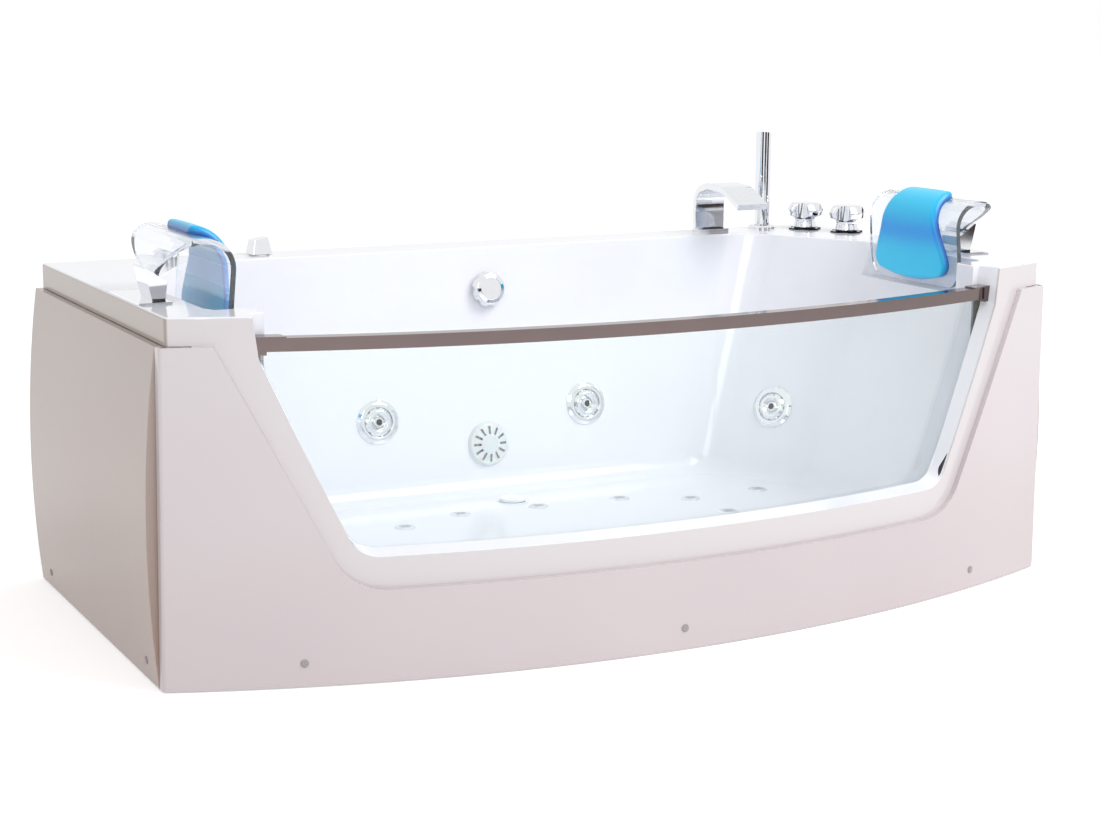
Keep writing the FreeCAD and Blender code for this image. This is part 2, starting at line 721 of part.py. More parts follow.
def window_lines(grow):
    """Sill, slanting side and upright side of the window, moved outward by grow."""
    slant = line_past((SILL_HALF, SILL_Z), (SHOULDER_HALF, SHOULDER_Z), grow)
    upright = line_past((SHOULDER_HALF, SHOULDER_Z), (MOUTH_HALF, DECK_HEIGHT), grow)
    sill = ((0, -1), grow - SILL_Z)
    return sill, slant, upright


def window_points(grow, top):
    sill, slant, upright = window_lines(grow)
    x0, z0 = meet(sill, slant)
    x1, z1 = meet(slant, upright)
    x2, z2 = meet(upright, ((0, 1), top))
    half = [(x0, z0), (x1, z1), (x2, z2)] if top > z1 else [(x0, z0), meet(slant, ((0, 1), top))]
    return half + [(-x, z) for x, z in reversed(half)]


def window_prism(grow, top):
    """Straight prism through the front wall with the window's outline."""
    points = window_points(grow, top)
    radii = [0] * len(points)
    radii[0] = radii[-1] = WINDOW_CORNER + grow
    wire = rounded_wire(points, radii, along_y(FRONT_Y - FRONT_BOW))
    return Part.Face(wire).extrude(V(0, FRONT_BOW - FRONT_Y, 0))


def window_opening():
    """Flared cutter for the window: wider towards the outside, with a sloping sill."""
    reference = front_y(MOUTH_HALF, FRONT_STEP)
    inner_y = BLOCK_BACK
    outer_y = FRONT_Y - FRONT_STEP
    wires = []
    for y in (inner_y, outer_y):
        grow = SIDE_FLARE * (reference - y) / math.sqrt(1 + SIDE_FLARE ** 2)
        points = window_points(grow, DECK_HEIGHT + FRONT_STEP)
        points[0] = (points[0][0], SILL_Z - 2 * SEAT_WIDTH)
        points[-1] = (points[-1][0], SILL_Z - 2 * SEAT_WIDTH)
        wires.append(rounded_wire(points, [0] * len(points), along_y(y)))
    wedge = Part.makeLoft(wires, True, True)
    depth = FRONT_INSIDE + FRONT_STEP
    low = SILL_Z - SILL_SLOPE * 2 * FRONT_STEP
    high = low + SILL_SLOPE * depth
    top = DECK_HEIGHT + 2 * FRONT_STEP
    outside = BOW_RADIUS + FRONT_STEP
    profile = [V(0, -outside, low), V(0, depth - outside, high),
               V(0, depth - outside, top), V(0, -outside, top)]
    face = Part.Face(Part.makePolygon(profile + profile[:1]))
    face.translate(V(0, BOW_CENTRE_Y, 0))
    sweep = 2 * math.degrees(math.asin(WIDE / BOW_RADIUS))
    face.rotate(V(0, BOW_CENTRE_Y, 0), UP, -sweep / 2)
    above_sill = face.revolve(V(0, BOW_CENTRE_Y, 0), UP, sweep)
    cutter = one(wedge.common(above_sill))
    corners = []
    for edge in cutter.Edges:
        run = edge.Vertexes[-1].Point - edge.Vertexes[0].Point
        runs_back = abs(run.y) > max(abs(run.x), abs(run.z))
        if runs_back and edge.CenterOfMass.z < SILL_Z + 2 * FRONT_STEP:
            corners.append(edge)
    return cutter.makeFillet(WINDOW_CORNER, corners)


def cut_out_points(grow, top):
    """Corners of the apron's cut-out, moved outward by grow."""
    side = line_past((APRON_EDGE_SILL, APRON_SILL_Z), (APRON_EDGE_TOP, BAND_Z), grow)
    sill = ((0, -1), grow - APRON_SILL_Z)
    x0, z0 = meet(sill, side)
    x1, z1 = meet(side, ((0, 1), top))
    return [(x0, z0), (x1, z1), (-x1, z1), (-x0, z0)]


def cut_out_prism(grow, top):
    radii = [APRON_CORNER + grow, 0, 0, APRON_CORNER + grow]
    wire = rounded_wire(cut_out_points(grow, top), radii, along_y(FRONT_Y - FRONT_BOW))
    return Part.Face(wire).extrude(V(0, FRONT_BOW - FRONT_Y, 0))


def deck_slab(inset, z0, z1):
    """Slab with the outline of the deck, drawn in by inset."""
    half = DECK_HALF - inset
    back = WALL_Y - inset
    arc = bow_arc(half, FRONT_STEP + inset, z0)
    a, b = arc.Vertexes[0].Point, arc.Vertexes[1].Point
    corners = [b, V(half, back, z0), V(-half, back, z0), a]
    sides = [Part.LineSegment(p, q).toShape() for p, q in zip(corners, corners[1:])]
    slab = Part.Face(Part.Wire([arc] + sides)).extrude(V(0, 0, z1 - z0))
    upright = [e for e in slab.Edges if abs(e.Vertexes[0].Z - e.Vertexes[-1].Z) > 1]
    return slab.makeFillet(max(DECK_CORNER - inset, 1.0), upright)


def at_deck_level(edge):
    b = edge.BoundBox
    return abs(b.ZMin - DECK_HEIGHT) < TOUCH and abs(b.ZMax - DECK_HEIGHT) < TOUCH


def deck():
    """Deck plate with its turned-down band and softened top edge."""
    slab = deck_slab(0, BAND_Z, DECK_HEIGHT)
    top = [e for e in slab.Edges if at_deck_level(e)]
    slab = slab.makeFillet(DECK_EDGE, top)
    return slab.cut(deck_slab(SHELL_WALL, BAND_Z - 1, DECK_HEIGHT - SHELL_WALL))


def front_frame():
    """Folded skin round the window: border, reveal, glass seat and its rim."""
    top = DECK_HEIGHT - SHELL_WALL / 2
    skin = bow_slab(FRONT_STEP, FRONT_STEP + SHELL_WALL, 0, top, DECK_HALF - SHELL_WALL)
    border = skin.common(cut_out_prism(BORDER_LAP, top))
    deep = FRONT_INSIDE + SHELL_WALL
    reveal = bow_slab(FRONT_STEP, deep, 0, top, DECK_HALF - SHELL_WALL)
    reveal = reveal.common(window_prism(SEAT_WALL + SIDE_FLARE * SEAT_DEPTH, top))
    seat = bow_slab(SEAT_DEPTH - SEAT_WALL, FRONT_INSIDE, 0, top, DECK_HALF - SHELL_WALL)
    seat = seat.common(window_prism(SEAT_WIDTH + SEALANT + SEAT_RIM, top))
    return border.fuse([reveal, seat])


def glass_recess():
    """Rebate that the glass drops into from inside the basin."""
    recess = bow_slab(SEAT_DEPTH, FRONT_INSIDE + SHELL_WALL, 0, DECK_HEIGHT, DECK_HALF)
    return recess.common(window_prism(SEAT_WIDTH + SEALANT, GLASS_TOP + SEALANT))


# ---------------------------------------------------------------- where fittings sit

def back_wall(x, z):
    """Placement on the back wall of the basin, local +Z into the water."""
    y = BACK_RIM - BACK_SLOPE * (DECK_HEIGHT - z)
    return facing(V(x, y, z), V(0, -1, BACK_SLOPE))


def shoulder_wall(y, z):
    """Placement on the right-hand slanting shoulder wall."""
    slant = math.radians(SHOULDER_ANGLE)
    distance = SHOULDER_RIM - SHOULDER_SLOPE * (DECK_HEIGHT - z)
    x = (distance - math.sin(slant) * y) / math.cos(slant)
    axis = V(-math.cos(slant), -math.sin(slant), SHOULDER_SLOPE)
    return facing(V(x, y, z), axis, V(math.sin(slant), -math.cos(slant), 0))


def on_deck(place):
    return FreeCAD.Placement(V(place[0], place[1], DECK_HEIGHT), FreeCAD.Rotation())


def on_floor(place):
    return FreeCAD.Placement(V(place[0], place[1], FLOOR_Z), FreeCAD.Rotation())


JETS = {"left": back_wall(JET_LEFT_X, JET_BACK_Z),
        "centre": back_wall(JET_CENTRE_X, JET_BACK_Z),
        "right": shoulder_wall(JET_RIGHT_Y, JET_RIGHT_Z)}
SUCTION = back_wall(SUCTION_X, SUCTION_Z)
OVERFLOW = back_wall(OVERFLOW_X, OVERFLOW_Z)
DRAIN = on_floor((DRAIN_X, DRAIN_Y))


def through(placement, radius):
    """Cutter for a round hole through the shell wall at a fitting."""
    return placed(rod(radius, V(0, 0, -2 * SHELL_WALL), V(0, 0, SHELL_WALL)), placement)


def shell_holes():
    """Cutters for every hole that a fitting passes through."""
    holes = [through(jet, JET_NECK + WALL_HOLE_CLEAR) for jet in JETS.values()]
    holes += [through(SUCTION, JET_NECK + WALL_HOLE_CLEAR)]
    holes += [through(OVERFLOW, JET_NECK + WALL_HOLE_CLEAR)]
    holes += [through(DRAIN, DRAIN_NECK + WALL_HOLE_CLEAR)]
    holes += [through(on_floor(p), AIR_STEM_RADIUS + WALL_HOLE_CLEAR) for p in FLOOR_JETS]
    deck_holes = [(AIR_KNOB_AT, DECK_NECK), (POWER_BUTTON_AT, DECK_NECK),
                  ((SPOUT_X, SPOUT_NECK_Y), SPOUT_NECK), (SHOWER_AT, SHOWER_RADIUS),
                  (HOT_TAP_AT, DECK_NECK), (COLD_TAP_AT, DECK_NECK)]
    holes += [through(on_deck(p), r + WALL_HOLE_CLEAR) for p, r in deck_holes]
    return holes


def tub_shell():
    solid = deck().fuse([front_frame(), basin(SHELL_WALL)])
    solid = solid.cut([basin(0), window_opening(), glass_recess()])
    solid = one(solid.cut(shell_holes()))
    return solid.makeFillet(RIM_ROUND, [e for e in solid.Edges if is_rim(e)])


def is_rim(edge):
    """True for the edges where the deck turns down into the basin or the window."""
    round_hole = "Circle" in str(edge.Curve) and edge.isClosed()
    if round_hole or not at_deck_level(edge):
        return False
    middle = edge.valueAt((edge.FirstParameter + edge.LastParameter) / 2)
    open_front = front_y(middle.x, FRONT_STEP + DECK_EDGE + 1) < middle.y
    return abs(middle.x) < BAY_HALF + 1 and open_front and middle.y < BACK_RIM + 1


# ---------------------------------------------------------------- front apron, end panels

APRON_TOP = BAND_Z - BAND_GAP
CORNER_Y = front_y(PANEL_TOP_HALF, 0)
APRON_END_Y = CORNER_Y + APRON_SIDE
PANEL_START_Y = APRON_END_Y + PANEL_GAP


def side_wedge(inset, y0, y1):
    """Block between the two leaning sides of the apron, drawn in by inset."""
    top = PANEL_TOP_HALF - inset
    foot = top + PANEL_FOOT_OUT
    corners = [V(-foot, y0, FLOOR_GAP), V(foot, y0, FLOOR_GAP), V(top, y0, APRON_TOP),
               V(-top, y0, APRON_TOP)]
    return Part.Face(Part.makePolygon(corners + corners[:1])).extrude(V(0, y1 - y0, 0))


def front_apron():
    low = FRONT_Y - FRONT_STEP
    outer = side_wedge(0, low, APRON_END_Y).common(behind_bow(0, FLOOR_GAP, APRON_TOP))
    corners = [e for e in outer.Edges
               if e.BoundBox.ZLength > BAND_HEIGHT and e.CenterOfMass.y < CORNER_Y + APRON_SIDE / 2]
    outer = outer.makeFillet(APRON_CORNER_ROUND, corners)
    deep = side_wedge(APRON_WALL, low, APRON_END_Y - APRON_WALL)
    open_back = side_wedge(FLANGE, low, APRON_END_Y + 1)
    hollow = deep.fuse(open_back).common(behind_bow(APRON_WALL, 0, APRON_TOP))
    skin = one(outer.cut(hollow))
    lip = bow_slab(0, FRONT_STEP, FLOOR_GAP, APRON_TOP, DECK_HALF)
    turned_edge = lip.common(cut_out_prism(APRON_WALL, APRON_TOP + 1))
    top_lip = bow_slab(0, FRONT_STEP, APRON_TOP - APRON_WALL, APRON_TOP, DECK_HALF)
    skin = skin.fuse([turned_edge, top_lip]).cut(cut_out_prism(0, APRON_TOP + 1))
    skin = one(skin)
    return skin.cut(screw_holes("front"))


def panel_profile(inset):
    """Barrel-shaped outline of an end panel, drawn in by inset, as points in x and z."""
    top, low = APRON_TOP, FLOOR_GAP
    below = math.sqrt(PANEL_BULGE - PANEL_FOOT_OUT)
    crown = low + (top - low) * below / (below + math.sqrt(PANEL_BULGE))
    points = [(PANEL_TOP_HALF - inset, top), (HALF_LENGTH - inset, crown),
              (PANEL_TOP_HALF + PANEL_FOOT_OUT - inset, low)]
    return [V(x, 0, z) for x, z in points]


def panel_block(inset, y0, y1):
    a, b, c = panel_profile(inset)
    inner = PANEL_TOP_HALF - FLANGE
    wire = Part.Wire([Part.Arc(a, b, c).toShape(),
                      Part.LineSegment(c, V(inner, 0, c.z)).toShape(),
                      Part.LineSegment(V(inner, 0, c.z), V(inner, 0, a.z)).toShape(),
                      Part.LineSegment(V(inner, 0, a.z), a).toShape()])
    block = Part.Face(wire).extrude(V(0, y1 - y0, 0))
    block.translate(V(0, y0, 0))
    return block


def end_panel():
    """Right-hand end panel: a shallow tray with the open side facing the tub."""
    outer = panel_block(0, PANEL_START_Y, WALL_Y)
    edges = [e for e in outer.Edges
             if e.BoundBox.YLength < TOUCH and e.CenterOfMass.x > PANEL_TOP_HALF]
    outer = outer.makeFillet(APRON_ROUND, edges)
    room = panel_block(PANEL_WALL, PANEL_START_Y + PANEL_WALL, WALL_Y - PANEL_WALL)
    inside = box(0, FAR, PANEL_START_Y, WALL_Y, FLOOR_GAP + PANEL_WALL, APRON_TOP - PANEL_WALL)
    return outer.cut(room.common(inside)).cut(screw_holes("side"))


# ---------------------------------------------------------------- cover screws

def front_screw_place(x, z):
    normal = V(x, front_y(x, 0) - BOW_CENTRE_Y, 0)
    return facing(V(x, front_y(x, 0), z), normal, V(-normal.y, normal.x, 0))


def side_screw_place(y, z):
    """Placement on the outer face of the right-hand end panel, square to its bulge."""
    arc = Part.Arc(*panel_profile(0))
    level = Part.makeLine(V(0, 0, z), V(FAR, 0, z))
    spot = arc.toShape().distToShape(level)[1][0][0]
    outward = spot - arc.toShape().Curve.Center
    return facing(V(spot.x, y, z), outward, BACK)


def cover_screw():
    """Pan-head cover screw; its cap sits on the panel, its shank points inward."""
    crown = [(a * CAP_RADIUS, b * CAP_HEIGHT) for a, b in CAP_SHAPE]
    dome = turned([(0, 0), (CAP_RADIUS, 0)] + crown + [(0, CAP_HEIGHT)])
    return dome.fuse(rod(SCREW_RADIUS, V(0, 0, -SCREW_LENGTH), V(0, 0, 0)))


def screw_holes(which):
    hole = rod(SCREW_RADIUS, V(0, 0, -SCREW_LENGTH), V(0, 0, CAP_HEIGHT))
    if which == "front":
        return [placed(hole, front_screw_place(x, z)) for x, z in FRONT_SCREWS]
    return [placed(hole, side_screw_place(y, z)) for y, z in SIDE_SCREWS]


def cover_screws():
    front = [placed(cover_screw(), front_screw_place(x, z)) for x, z in FRONT_SCREWS]
    right = [placed(cover_screw(), side_screw_place(y, z)) for y, z in SIDE_SCREWS]
    return front + right + [mirrored(s) for s in right]


# ---------------------------------------------------------------- glass front and its rail

GLASS_FRONT = SEAT_DEPTH + SEAL_THICK
RAIL_LOW = RAIL_TOP - RAIL_HEIGHT


def window_half(z, y):
    """Half width of the window opening at height z and depth y."""
    sill, slant, upright = window_lines(0)
    level = ((0, 1), z)
    line = slant if z < SHOULDER_Z else upright
    return meet(line, level)[0] + SIDE_FLARE * (front_y(MOUTH_HALF, FRONT_STEP) - y)


def rail_half():
    y = front_y(SHOULDER_HALF, RAIL_FRONT + RAIL_WIDTH)
    return window_half(RAIL_LOW, y) - BRACKET_SHEET


def glass_pane():
    slab = bow_slab(GLASS_FRONT, GLASS_FRONT + GLASS_THICK, 0, DECK_HEIGHT, DECK_HALF)
    return slab.common(window_prism(SEAT_WIDTH, GLASS_TOP))


def glass_seal():
    """Silicone bed between the glass and its seat, closed round the edge of the glass."""
    depth = GLASS_FRONT + GLASS_THICK
    bed = bow_slab(SEAT_DEPTH, depth, 0, RAIL_LOW, DECK_HALF)
    bed = bed.common(window_prism(SEAT_WIDTH + SEALANT, RAIL_LOW))
    bed = bed.cut(window_prism(SIDE_FLARE * SEAT_DEPTH, DECK_HEIGHT))
    return one(bed.cut(glass_pane()))


def top_rail():
    half = rail_half()
    back = RAIL_FRONT + RAIL_WIDTH
    outer = bow_slab(RAIL_FRONT, back, RAIL_LOW, RAIL_TOP, half)
    inner = bow_slab(RAIL_FRONT + RAIL_SHEET, back - RAIL_SHEET, RAIL_LOW,
                     RAIL_TOP - RAIL_SHEET)
    return outer.cut(inner)


def rail_gasket():
    """Rubber filler that grips the top edge of the glass inside the rail."""
    inner = bow_slab(RAIL_FRONT + RAIL_SHEET, RAIL_FRONT + RAIL_WIDTH - RAIL_SHEET,
                     RAIL_LOW + RAIL_SHEET, RAIL_TOP - RAIL_SHEET, rail_half())
    return one(inner.cut(glass_pane()))


def rail_bracket():
    """Right-hand bracket: an end plate on the deck block with lips round the rail."""
    half = rail_half()
    front = RAIL_FRONT - BRACKET_SHEET
    back = RAIL_FRONT + RAIL_WIDTH + BRACKET_SHEET
    top = RAIL_TOP + BRACKET_SHEET
    low = RAIL_LOW - BRACKET_LIP
    cap = bow_slab(front, back, RAIL_TOP, top).common(
        box(half - BRACKET_REACH, FAR, -FAR, FAR, 0, DECK_HEIGHT))
    plate = bow_slab(front, FRONT_INSIDE, low, top).common(
        box(half, FAR, -FAR, FAR, 0, DECK_HEIGHT))
    bracket = cap.fuse(plate).common(window_opening())
    return one(bracket.cut([glass_pane(), glass_seal()]))


# ---------------------------------------------------------------- pipes

def bent_rod(points, radius, bend):
    """Round bar along straight runs joined by tangent arcs."""
    pieces = []
    start = points[0]
    for before, corner, after in zip(points, points[1:], points[2:]):
        u = (before - corner).normalize()
        w = (after - corner).normalize()
        half = u.getAngle(w) / 2
        reach = bend / math.tan(half)
        centre = corner + (u + w).normalize() * (bend / math.sin(half))
        arc_start = corner + u * reach
        pieces.append(rod(radius, start, arc_start))
        disc = Part.Face(Part.Wire(Part.Circle(arc_start, u, radius).toShape()))
        axis = u.cross(arc_start - centre)
        pieces.append(disc.revolve(centre, axis, 180 - math.degrees(2 * half)))
        start = corner + w * reach
    pieces.append(rod(radius, start, points[-1]))
    return pieces[0].fuse(pieces[1:]) if len(pieces) > 1 else pieces[0]


def tube(points, radius, bore, bend):
    return one(bent_rod(points, radius, bend).cut(bent_rod(points, bore, bend)))


def branched(routes, radius, bore, bend):
    """Pipe with branches: the first route is the main, the others are its tees."""
    outside = bent_rod(routes[0], radius, bend)
    inside = bent_rod(routes[0], bore, bend)
    for route, branch_radius, branch_bore in routes[1:]:
        outside = outside.fuse(bent_rod(route, branch_radius, bend))
        inside = inside.fuse(bent_rod(route, branch_bore, bend))
    return one(outside.cut(inside))


# ---------------------------------------------------------------- fittings through a wall

def wall_depth(slope):
    """Thickness of the shell square to a wall that leans by slope."""
    return SHELL_WALL / math.sqrt(1 + slope ** 2)


def threaded_body(depth, rear):
    """Bushing through the wall with a lip on the wet side; rear is its back wall."""
    bore = JET_NECK - JET_BODY_WALL
    low = rear - depth
    profile = [(bore, low), (bore, JET_LIP), (JET_LIP_RADIUS, JET_LIP), (JET_LIP_RADIUS, 0),
               (JET_NECK, 0), (JET_NECK, -depth)]
    if rear > 0:
        profile += [(0, -depth), (0, low)]
    else:
        profile += [(bore, -depth)]
        profile.pop(0)
    return turned(profile)


def wall_nut(slope):
    top = -wall_depth(slope)
    ring = ringed(JET_NUT_RADIUS, JET_NECK + STUD_CLEAR, top - JET_NUT_THICK, top)
    grips = []
    for spot in ring_spots(NUT_GRIPS, JET_NUT_RADIUS + 1):
        grips.append(rod(NUT_GRIP_RADIUS, spot + UP * (top - JET_NUT_THICK), spot + UP * top))
    return ring.cut(grips)


def jet_body():
    body = threaded_body(JET_BODY_DEPTH, JET_BODY_WALL)
    water = rod(PORT_RADIUS, V(0, 0, -PORT_DEPTH), V(0, PORT_REACH, -PORT_DEPTH))
    air = rod(AIR_PORT_RADIUS, V(0, 0, -AIR_PORT_DEPTH), V(0, AIR_PORT_REACH, -AIR_PORT_DEPTH))
    water_bore = rod(PORT_RADIUS - PORT_WALL, V(0, 0, -PORT_DEPTH),
                     V(0, PORT_REACH, -PORT_DEPTH))
    air_bore = rod(AIR_PORT_RADIUS - PORT_WALL, V(0, 0, -AIR_PORT_DEPTH),
                   V(0, AIR_PORT_REACH, -AIR_PORT_DEPTH))
    chamber = rod(JET_NECK - JET_BODY_WALL, V(0, 0, JET_BODY_WALL - JET_BODY_DEPTH),
                  V(0, 0, JET_LIP))
    return one(body.fuse([water, air]).cut([chamber, water_bore, air_bore]))


def jet_flange():
    """Domed chrome ring on the wet side of the wall."""
    hole = JET_RING_RADIUS + FACE_CLEAR
    top = JET_FLANGE_THICK
    points = [(hole, 0), (JET_FLANGE_RADIUS, 0), (JET_FLANGE_RADIUS, JET_FLANGE_EDGE),
              (hole + JET_FLANGE_LAND, top), (hole, top)]
    return turned_soft(points, JET_FLANGE_ROUNDS)


def jet_ring():
    """Scalloped ring that is turned by hand; it carries the ball in its socket."""
    neck = JET_NECK - JET_BODY_WALL - TURN_CLEAR
    seat = JET_LIP + FACE_CLEAR
    points = [(0, -JET_RING_DEEP), (neck, -JET_RING_DEEP), (neck, seat),
              (JET_RING_RADIUS, seat), (JET_RING_RADIUS, seat + JET_RING_EDGE),
              (JET_RING_RADIUS - JET_RING_BEVEL, JET_RING_PROUD),
              (neck - JET_RING_DISH, JET_RING_PROUD),
              (JET_BALL - SOCKET_LIP, JET_BALL_Z + SOCKET_FRONT),
              (0, JET_BALL_Z + SOCKET_FRONT)]
    ring = turned_soft(points, JET_RING_ROUNDS)
    cuts = [Part.makeSphere(JET_BALL + BALL_CLEAR, V(0, 0, JET_BALL_Z)),
            rod(JET_BALL - SOCKET_BACK, V(0, 0, -JET_RING_DEEP), V(0, 0, JET_RING_PROUD))]
    for spot in ring_spots(JET_RING_LOBES, JET_RING_RADIUS + JET_LOBE_RADIUS / 2):
        cuts.append(rod(JET_LOBE_RADIUS, spot, spot + UP * JET_RING_PROUD))
    return one(ring.cut(cuts))


def jet_nozzle():
    """Ball with a bore: it tilts in the socket to aim the jet."""
    ball = Part.makeSphere(JET_BALL, V(0, 0, JET_BALL_Z))
    front = JET_BALL_Z + JET_BALL_FRONT * JET_BALL
    rear = JET_BALL_Z - JET_BALL_REAR * JET_BALL
    ball = ball.common(rod(JET_BALL, V(0, 0, rear), V(0, 0, front)))
    bore = rod(JET_HOLE, V(0, 0, rear), V(0, 0, front))
    mouth = Part.makeCone(JET_HOLE, JET_HOLE + JET_MOUTH_FLARE, JET_MOUTH_DEEP,
                          V(0, 0, front - JET_MOUTH_DEEP))
    return one(ball.cut([bore, mouth]))


def suction_body():
    return threaded_body(BODY_DEPTH, 0)


def suction_cover():
    """Domed grille over the suction, with radial slots and a plain centre."""
    r = SUCTION_RADIUS
    top = SUCTION_DOME
    shoulder = top - COVER_FALL
    points = [(0, top), (COVER_FLAT * r, top), (r - COVER_EDGE, shoulder), (r, JET_LIP), (r, 0),
              (r - COVER_WALL, 0), (r - COVER_WALL - COVER_EDGE, shoulder - COVER_WALL),
              (COVER_FLAT * r, top - COVER_WALL), (0, top - COVER_WALL)]
    dome = turned_soft(points, COVER_ROUNDS)
    slot = box(SLOT_FROM * r, SLOT_TO * r, -SLOT_WIDTH / 2, SLOT_WIDTH / 2, JET_LIP, 2 * top)
    return one(dome.cut(spun(slot, SUCTION_SLOTS)))


def overflow_body():
    """Overflow bushing; three ribs carry the hub that the spindle turns in."""
    body = threaded_body(BODY_DEPTH, 0)
    hub = rod(SPINDLE_RADIUS + HUB_WALL, V(0, 0, -HUB_DEPTH), V(0, 0, JET_LIP))
    rib = box(0, JET_NECK - JET_BODY_WALL / 2, -RIB_THICK / 2, RIB_THICK / 2, -HUB_DEPTH,
              JET_LIP - RIB_SUNK)
    bore = rod(SPINDLE_RADIUS + TURN_CLEAR, V(0, 0, -HUB_DEPTH), V(0, 0, JET_LIP))
    return one(body.fuse([hub] + spun(rib, RIBS)).cut(bore))


def overflow_knob():
    """Faceted chrome knob on a spindle; turning it lifts the drain plug."""
    low = JET_LIP + OVERFLOW_STANDOFF
    high = low + OVERFLOW_KNOB
    r = OVERFLOW_RADIUS
    points = [(0, low), (r - KNOB_UNDERCUT, low), (r, low + KNOB_SKIRT),
              (r - KNOB_BEVEL[0], high - KNOB_BEVEL[1]), (r - KNOB_FACE, high), (0, high)]
    knob = turned_soft(points, KNOB_ROUNDS)
    cuts = [rod(FACET_RADIUS, spot + UP * low, spot + UP * high)
            for spot in ring_spots(OVERFLOW_FACETS, r + FACET_OFFSET)]
    spindle = rod(SPINDLE_RADIUS, V(0, 0, -SPINDLE_DEEP), V(0, 0, low + 1))
    return one(knob.cut(cuts).fuse(spindle))


def drain_body():
    """Floor waste: flange on the floor, threaded tail and a spider for the plug's stem."""
    inner = DRAIN_NECK - JET_BODY_WALL
    low = -DRAIN_DEPTH
    body = turned([(inner, low), (DRAIN_NECK, low), (DRAIN_NECK, 0), (DRAIN_RADIUS, 0),
                   (DRAIN_RADIUS, DRAIN_LIP), (DRAIN_RADIUS - DRAIN_BEVEL, JET_LIP), (inner, JET_LIP)])
    start, end = [V(0, 0, z) for z in DRAIN_HUB]
    rib = box(0, inner + 1, -RIB_THICK / 2, RIB_THICK / 2, start.z, end.z)
    hub = [rod(PLUG_STEM + HUB_WALL, start, end)] + spun(rib, RIBS)
    return one(body.fuse(hub).cut(rod(PLUG_STEM + TURN_CLEAR, start, end)))


def drain_plug():
    low = JET_LIP + FACE_CLEAR
    cap = turned([(0, low), (PLUG_RADIUS, low), (PLUG_RADIUS, low + PLUG_EDGE),
                  (PLUG_RADIUS - PLUG_BEVEL, low + PLUG_THICK), (0, low + PLUG_THICK)])
    stem = rod(PLUG_STEM, V(0, 0, -DRAIN_DEPTH), V(0, 0, low))
    return one(cap.fuse(stem))


def drain_nut():
    ring = ringed(DRAIN_NECK + DRAIN_NUT_WALL, DRAIN_NECK + STUD_CLEAR, -SHELL_WALL - JET_NUT_THICK,
                  -SHELL_WALL)
    return placed(ring, DRAIN)


def waste_trap():
    """Shallow trap under the drain with its outlet towards the wall."""
    x, y = DRAIN_X, DRAIN_Y
    tail = FLOOR_Z - DRAIN_DEPTH
    neck = DRAIN_NECK + STUD_CLEAR
    cup = rod(TRAP_RADIUS, V(x, y, TRAP_LOW), V(x, y, TRAP_TOP))
    collar = rod(neck + TRAP_WALL, V(x, y, TRAP_TOP), V(x, y, tail + TRAP_COLLAR))
    middle = (TRAP_LOW + TRAP_TOP) / 2
    route = [V(x, y, middle), V(x + TRAP_SIDE, y, middle),
             V(x + TRAP_SIDE, WALL_Y - TRAP_SHORT, middle)]
    arm = bent_rod(route, TRAP_ARM, PIPE_BEND)
    mouth = V(x, y + TRAP_RADIUS + TRAP_INLET, middle)
    inlet = rod(OVERFLOW_PIPE_RADIUS + TRAP_INLET_WALL, V(x, y, middle), mouth)
    cavity = rod(TRAP_RADIUS - TRAP_WALL, V(x, y, TRAP_LOW + TRAP_WALL),
                 V(x, y, TRAP_TOP - TRAP_WALL))
    throat = rod(DRAIN_NECK - JET_BODY_WALL, V(x, y, middle), V(x, y, tail))
    socket = rod(neck, V(x, y, tail), V(x, y, tail + TRAP_COLLAR))
    side = rod(OVERFLOW_PIPE_RADIUS, V(x, y + TRAP_RADIUS, middle), mouth)
    side_bore = rod(OVERFLOW_PIPE_BORE, V(x, y, middle), V(x, y + TRAP_RADIUS, middle))
    cuts = [cavity, throat, socket, side, side_bore, bent_rod(route, TRAP_ARM_BORE, PIPE_BEND)]
    return one(cup.fuse([collar, arm, inlet]).cut(cuts))


def pipe_from(placement, depth):
    """Point on a wall fitting's axis behind the wall."""
    return placement.multVec(V(0, 0, -depth))


def suction_pipe():
    start = pipe_from(SUCTION, BODY_DEPTH)
    corner = pipe_from(SUCTION, BODY_DEPTH + SUCTION_RUN)
    inlet = PUMP.multVec(V(0, 0, MOTOR_LENGTH + VOLUTE_LENGTH + PIPE_RADIUS))
    route = [start, corner, V(PUMP_X + 2 * PIPE_BEND, corner.y, corner.z),
             V(PUMP_X, corner.y - SUCTION_TURN, PUMP_Z), inlet]
    return tube(route, PIPE_RADIUS, PIPE_BORE, PIPE_BEND)


def overflow_pipe():
    start = pipe_from(OVERFLOW, BODY_DEPTH)
    reach = (OVERFLOW_PIPE_Y - start.y) / OVERFLOW.multVec(V(0, 0, -1)).sub(OVERFLOW.Base).y
    corner = pipe_from(OVERFLOW, BODY_DEPTH + reach)
    level = (TRAP_LOW + TRAP_TOP) / 2
    route = [start, corner, V(corner.x, corner.y, level),
             V(DRAIN_X, corner.y - OVERFLOW_PIPE_TURN, level),
             V(DRAIN_X, DRAIN_Y + TRAP_RADIUS, level)]
    return tube(route, OVERFLOW_PIPE_RADIUS, OVERFLOW_PIPE_BORE, OVERFLOW_PIPE_BEND)


def port_line(jet, depth, reach, level):
    """End of a jet's port, and the point above it on the port's axis at height level."""
    start = jet.multVec(V(0, reach, -depth))
    rise = jet.multVec(V(0, reach + 1, -depth)) - start
    return start, start + rise * ((level - start.z) / rise.z)


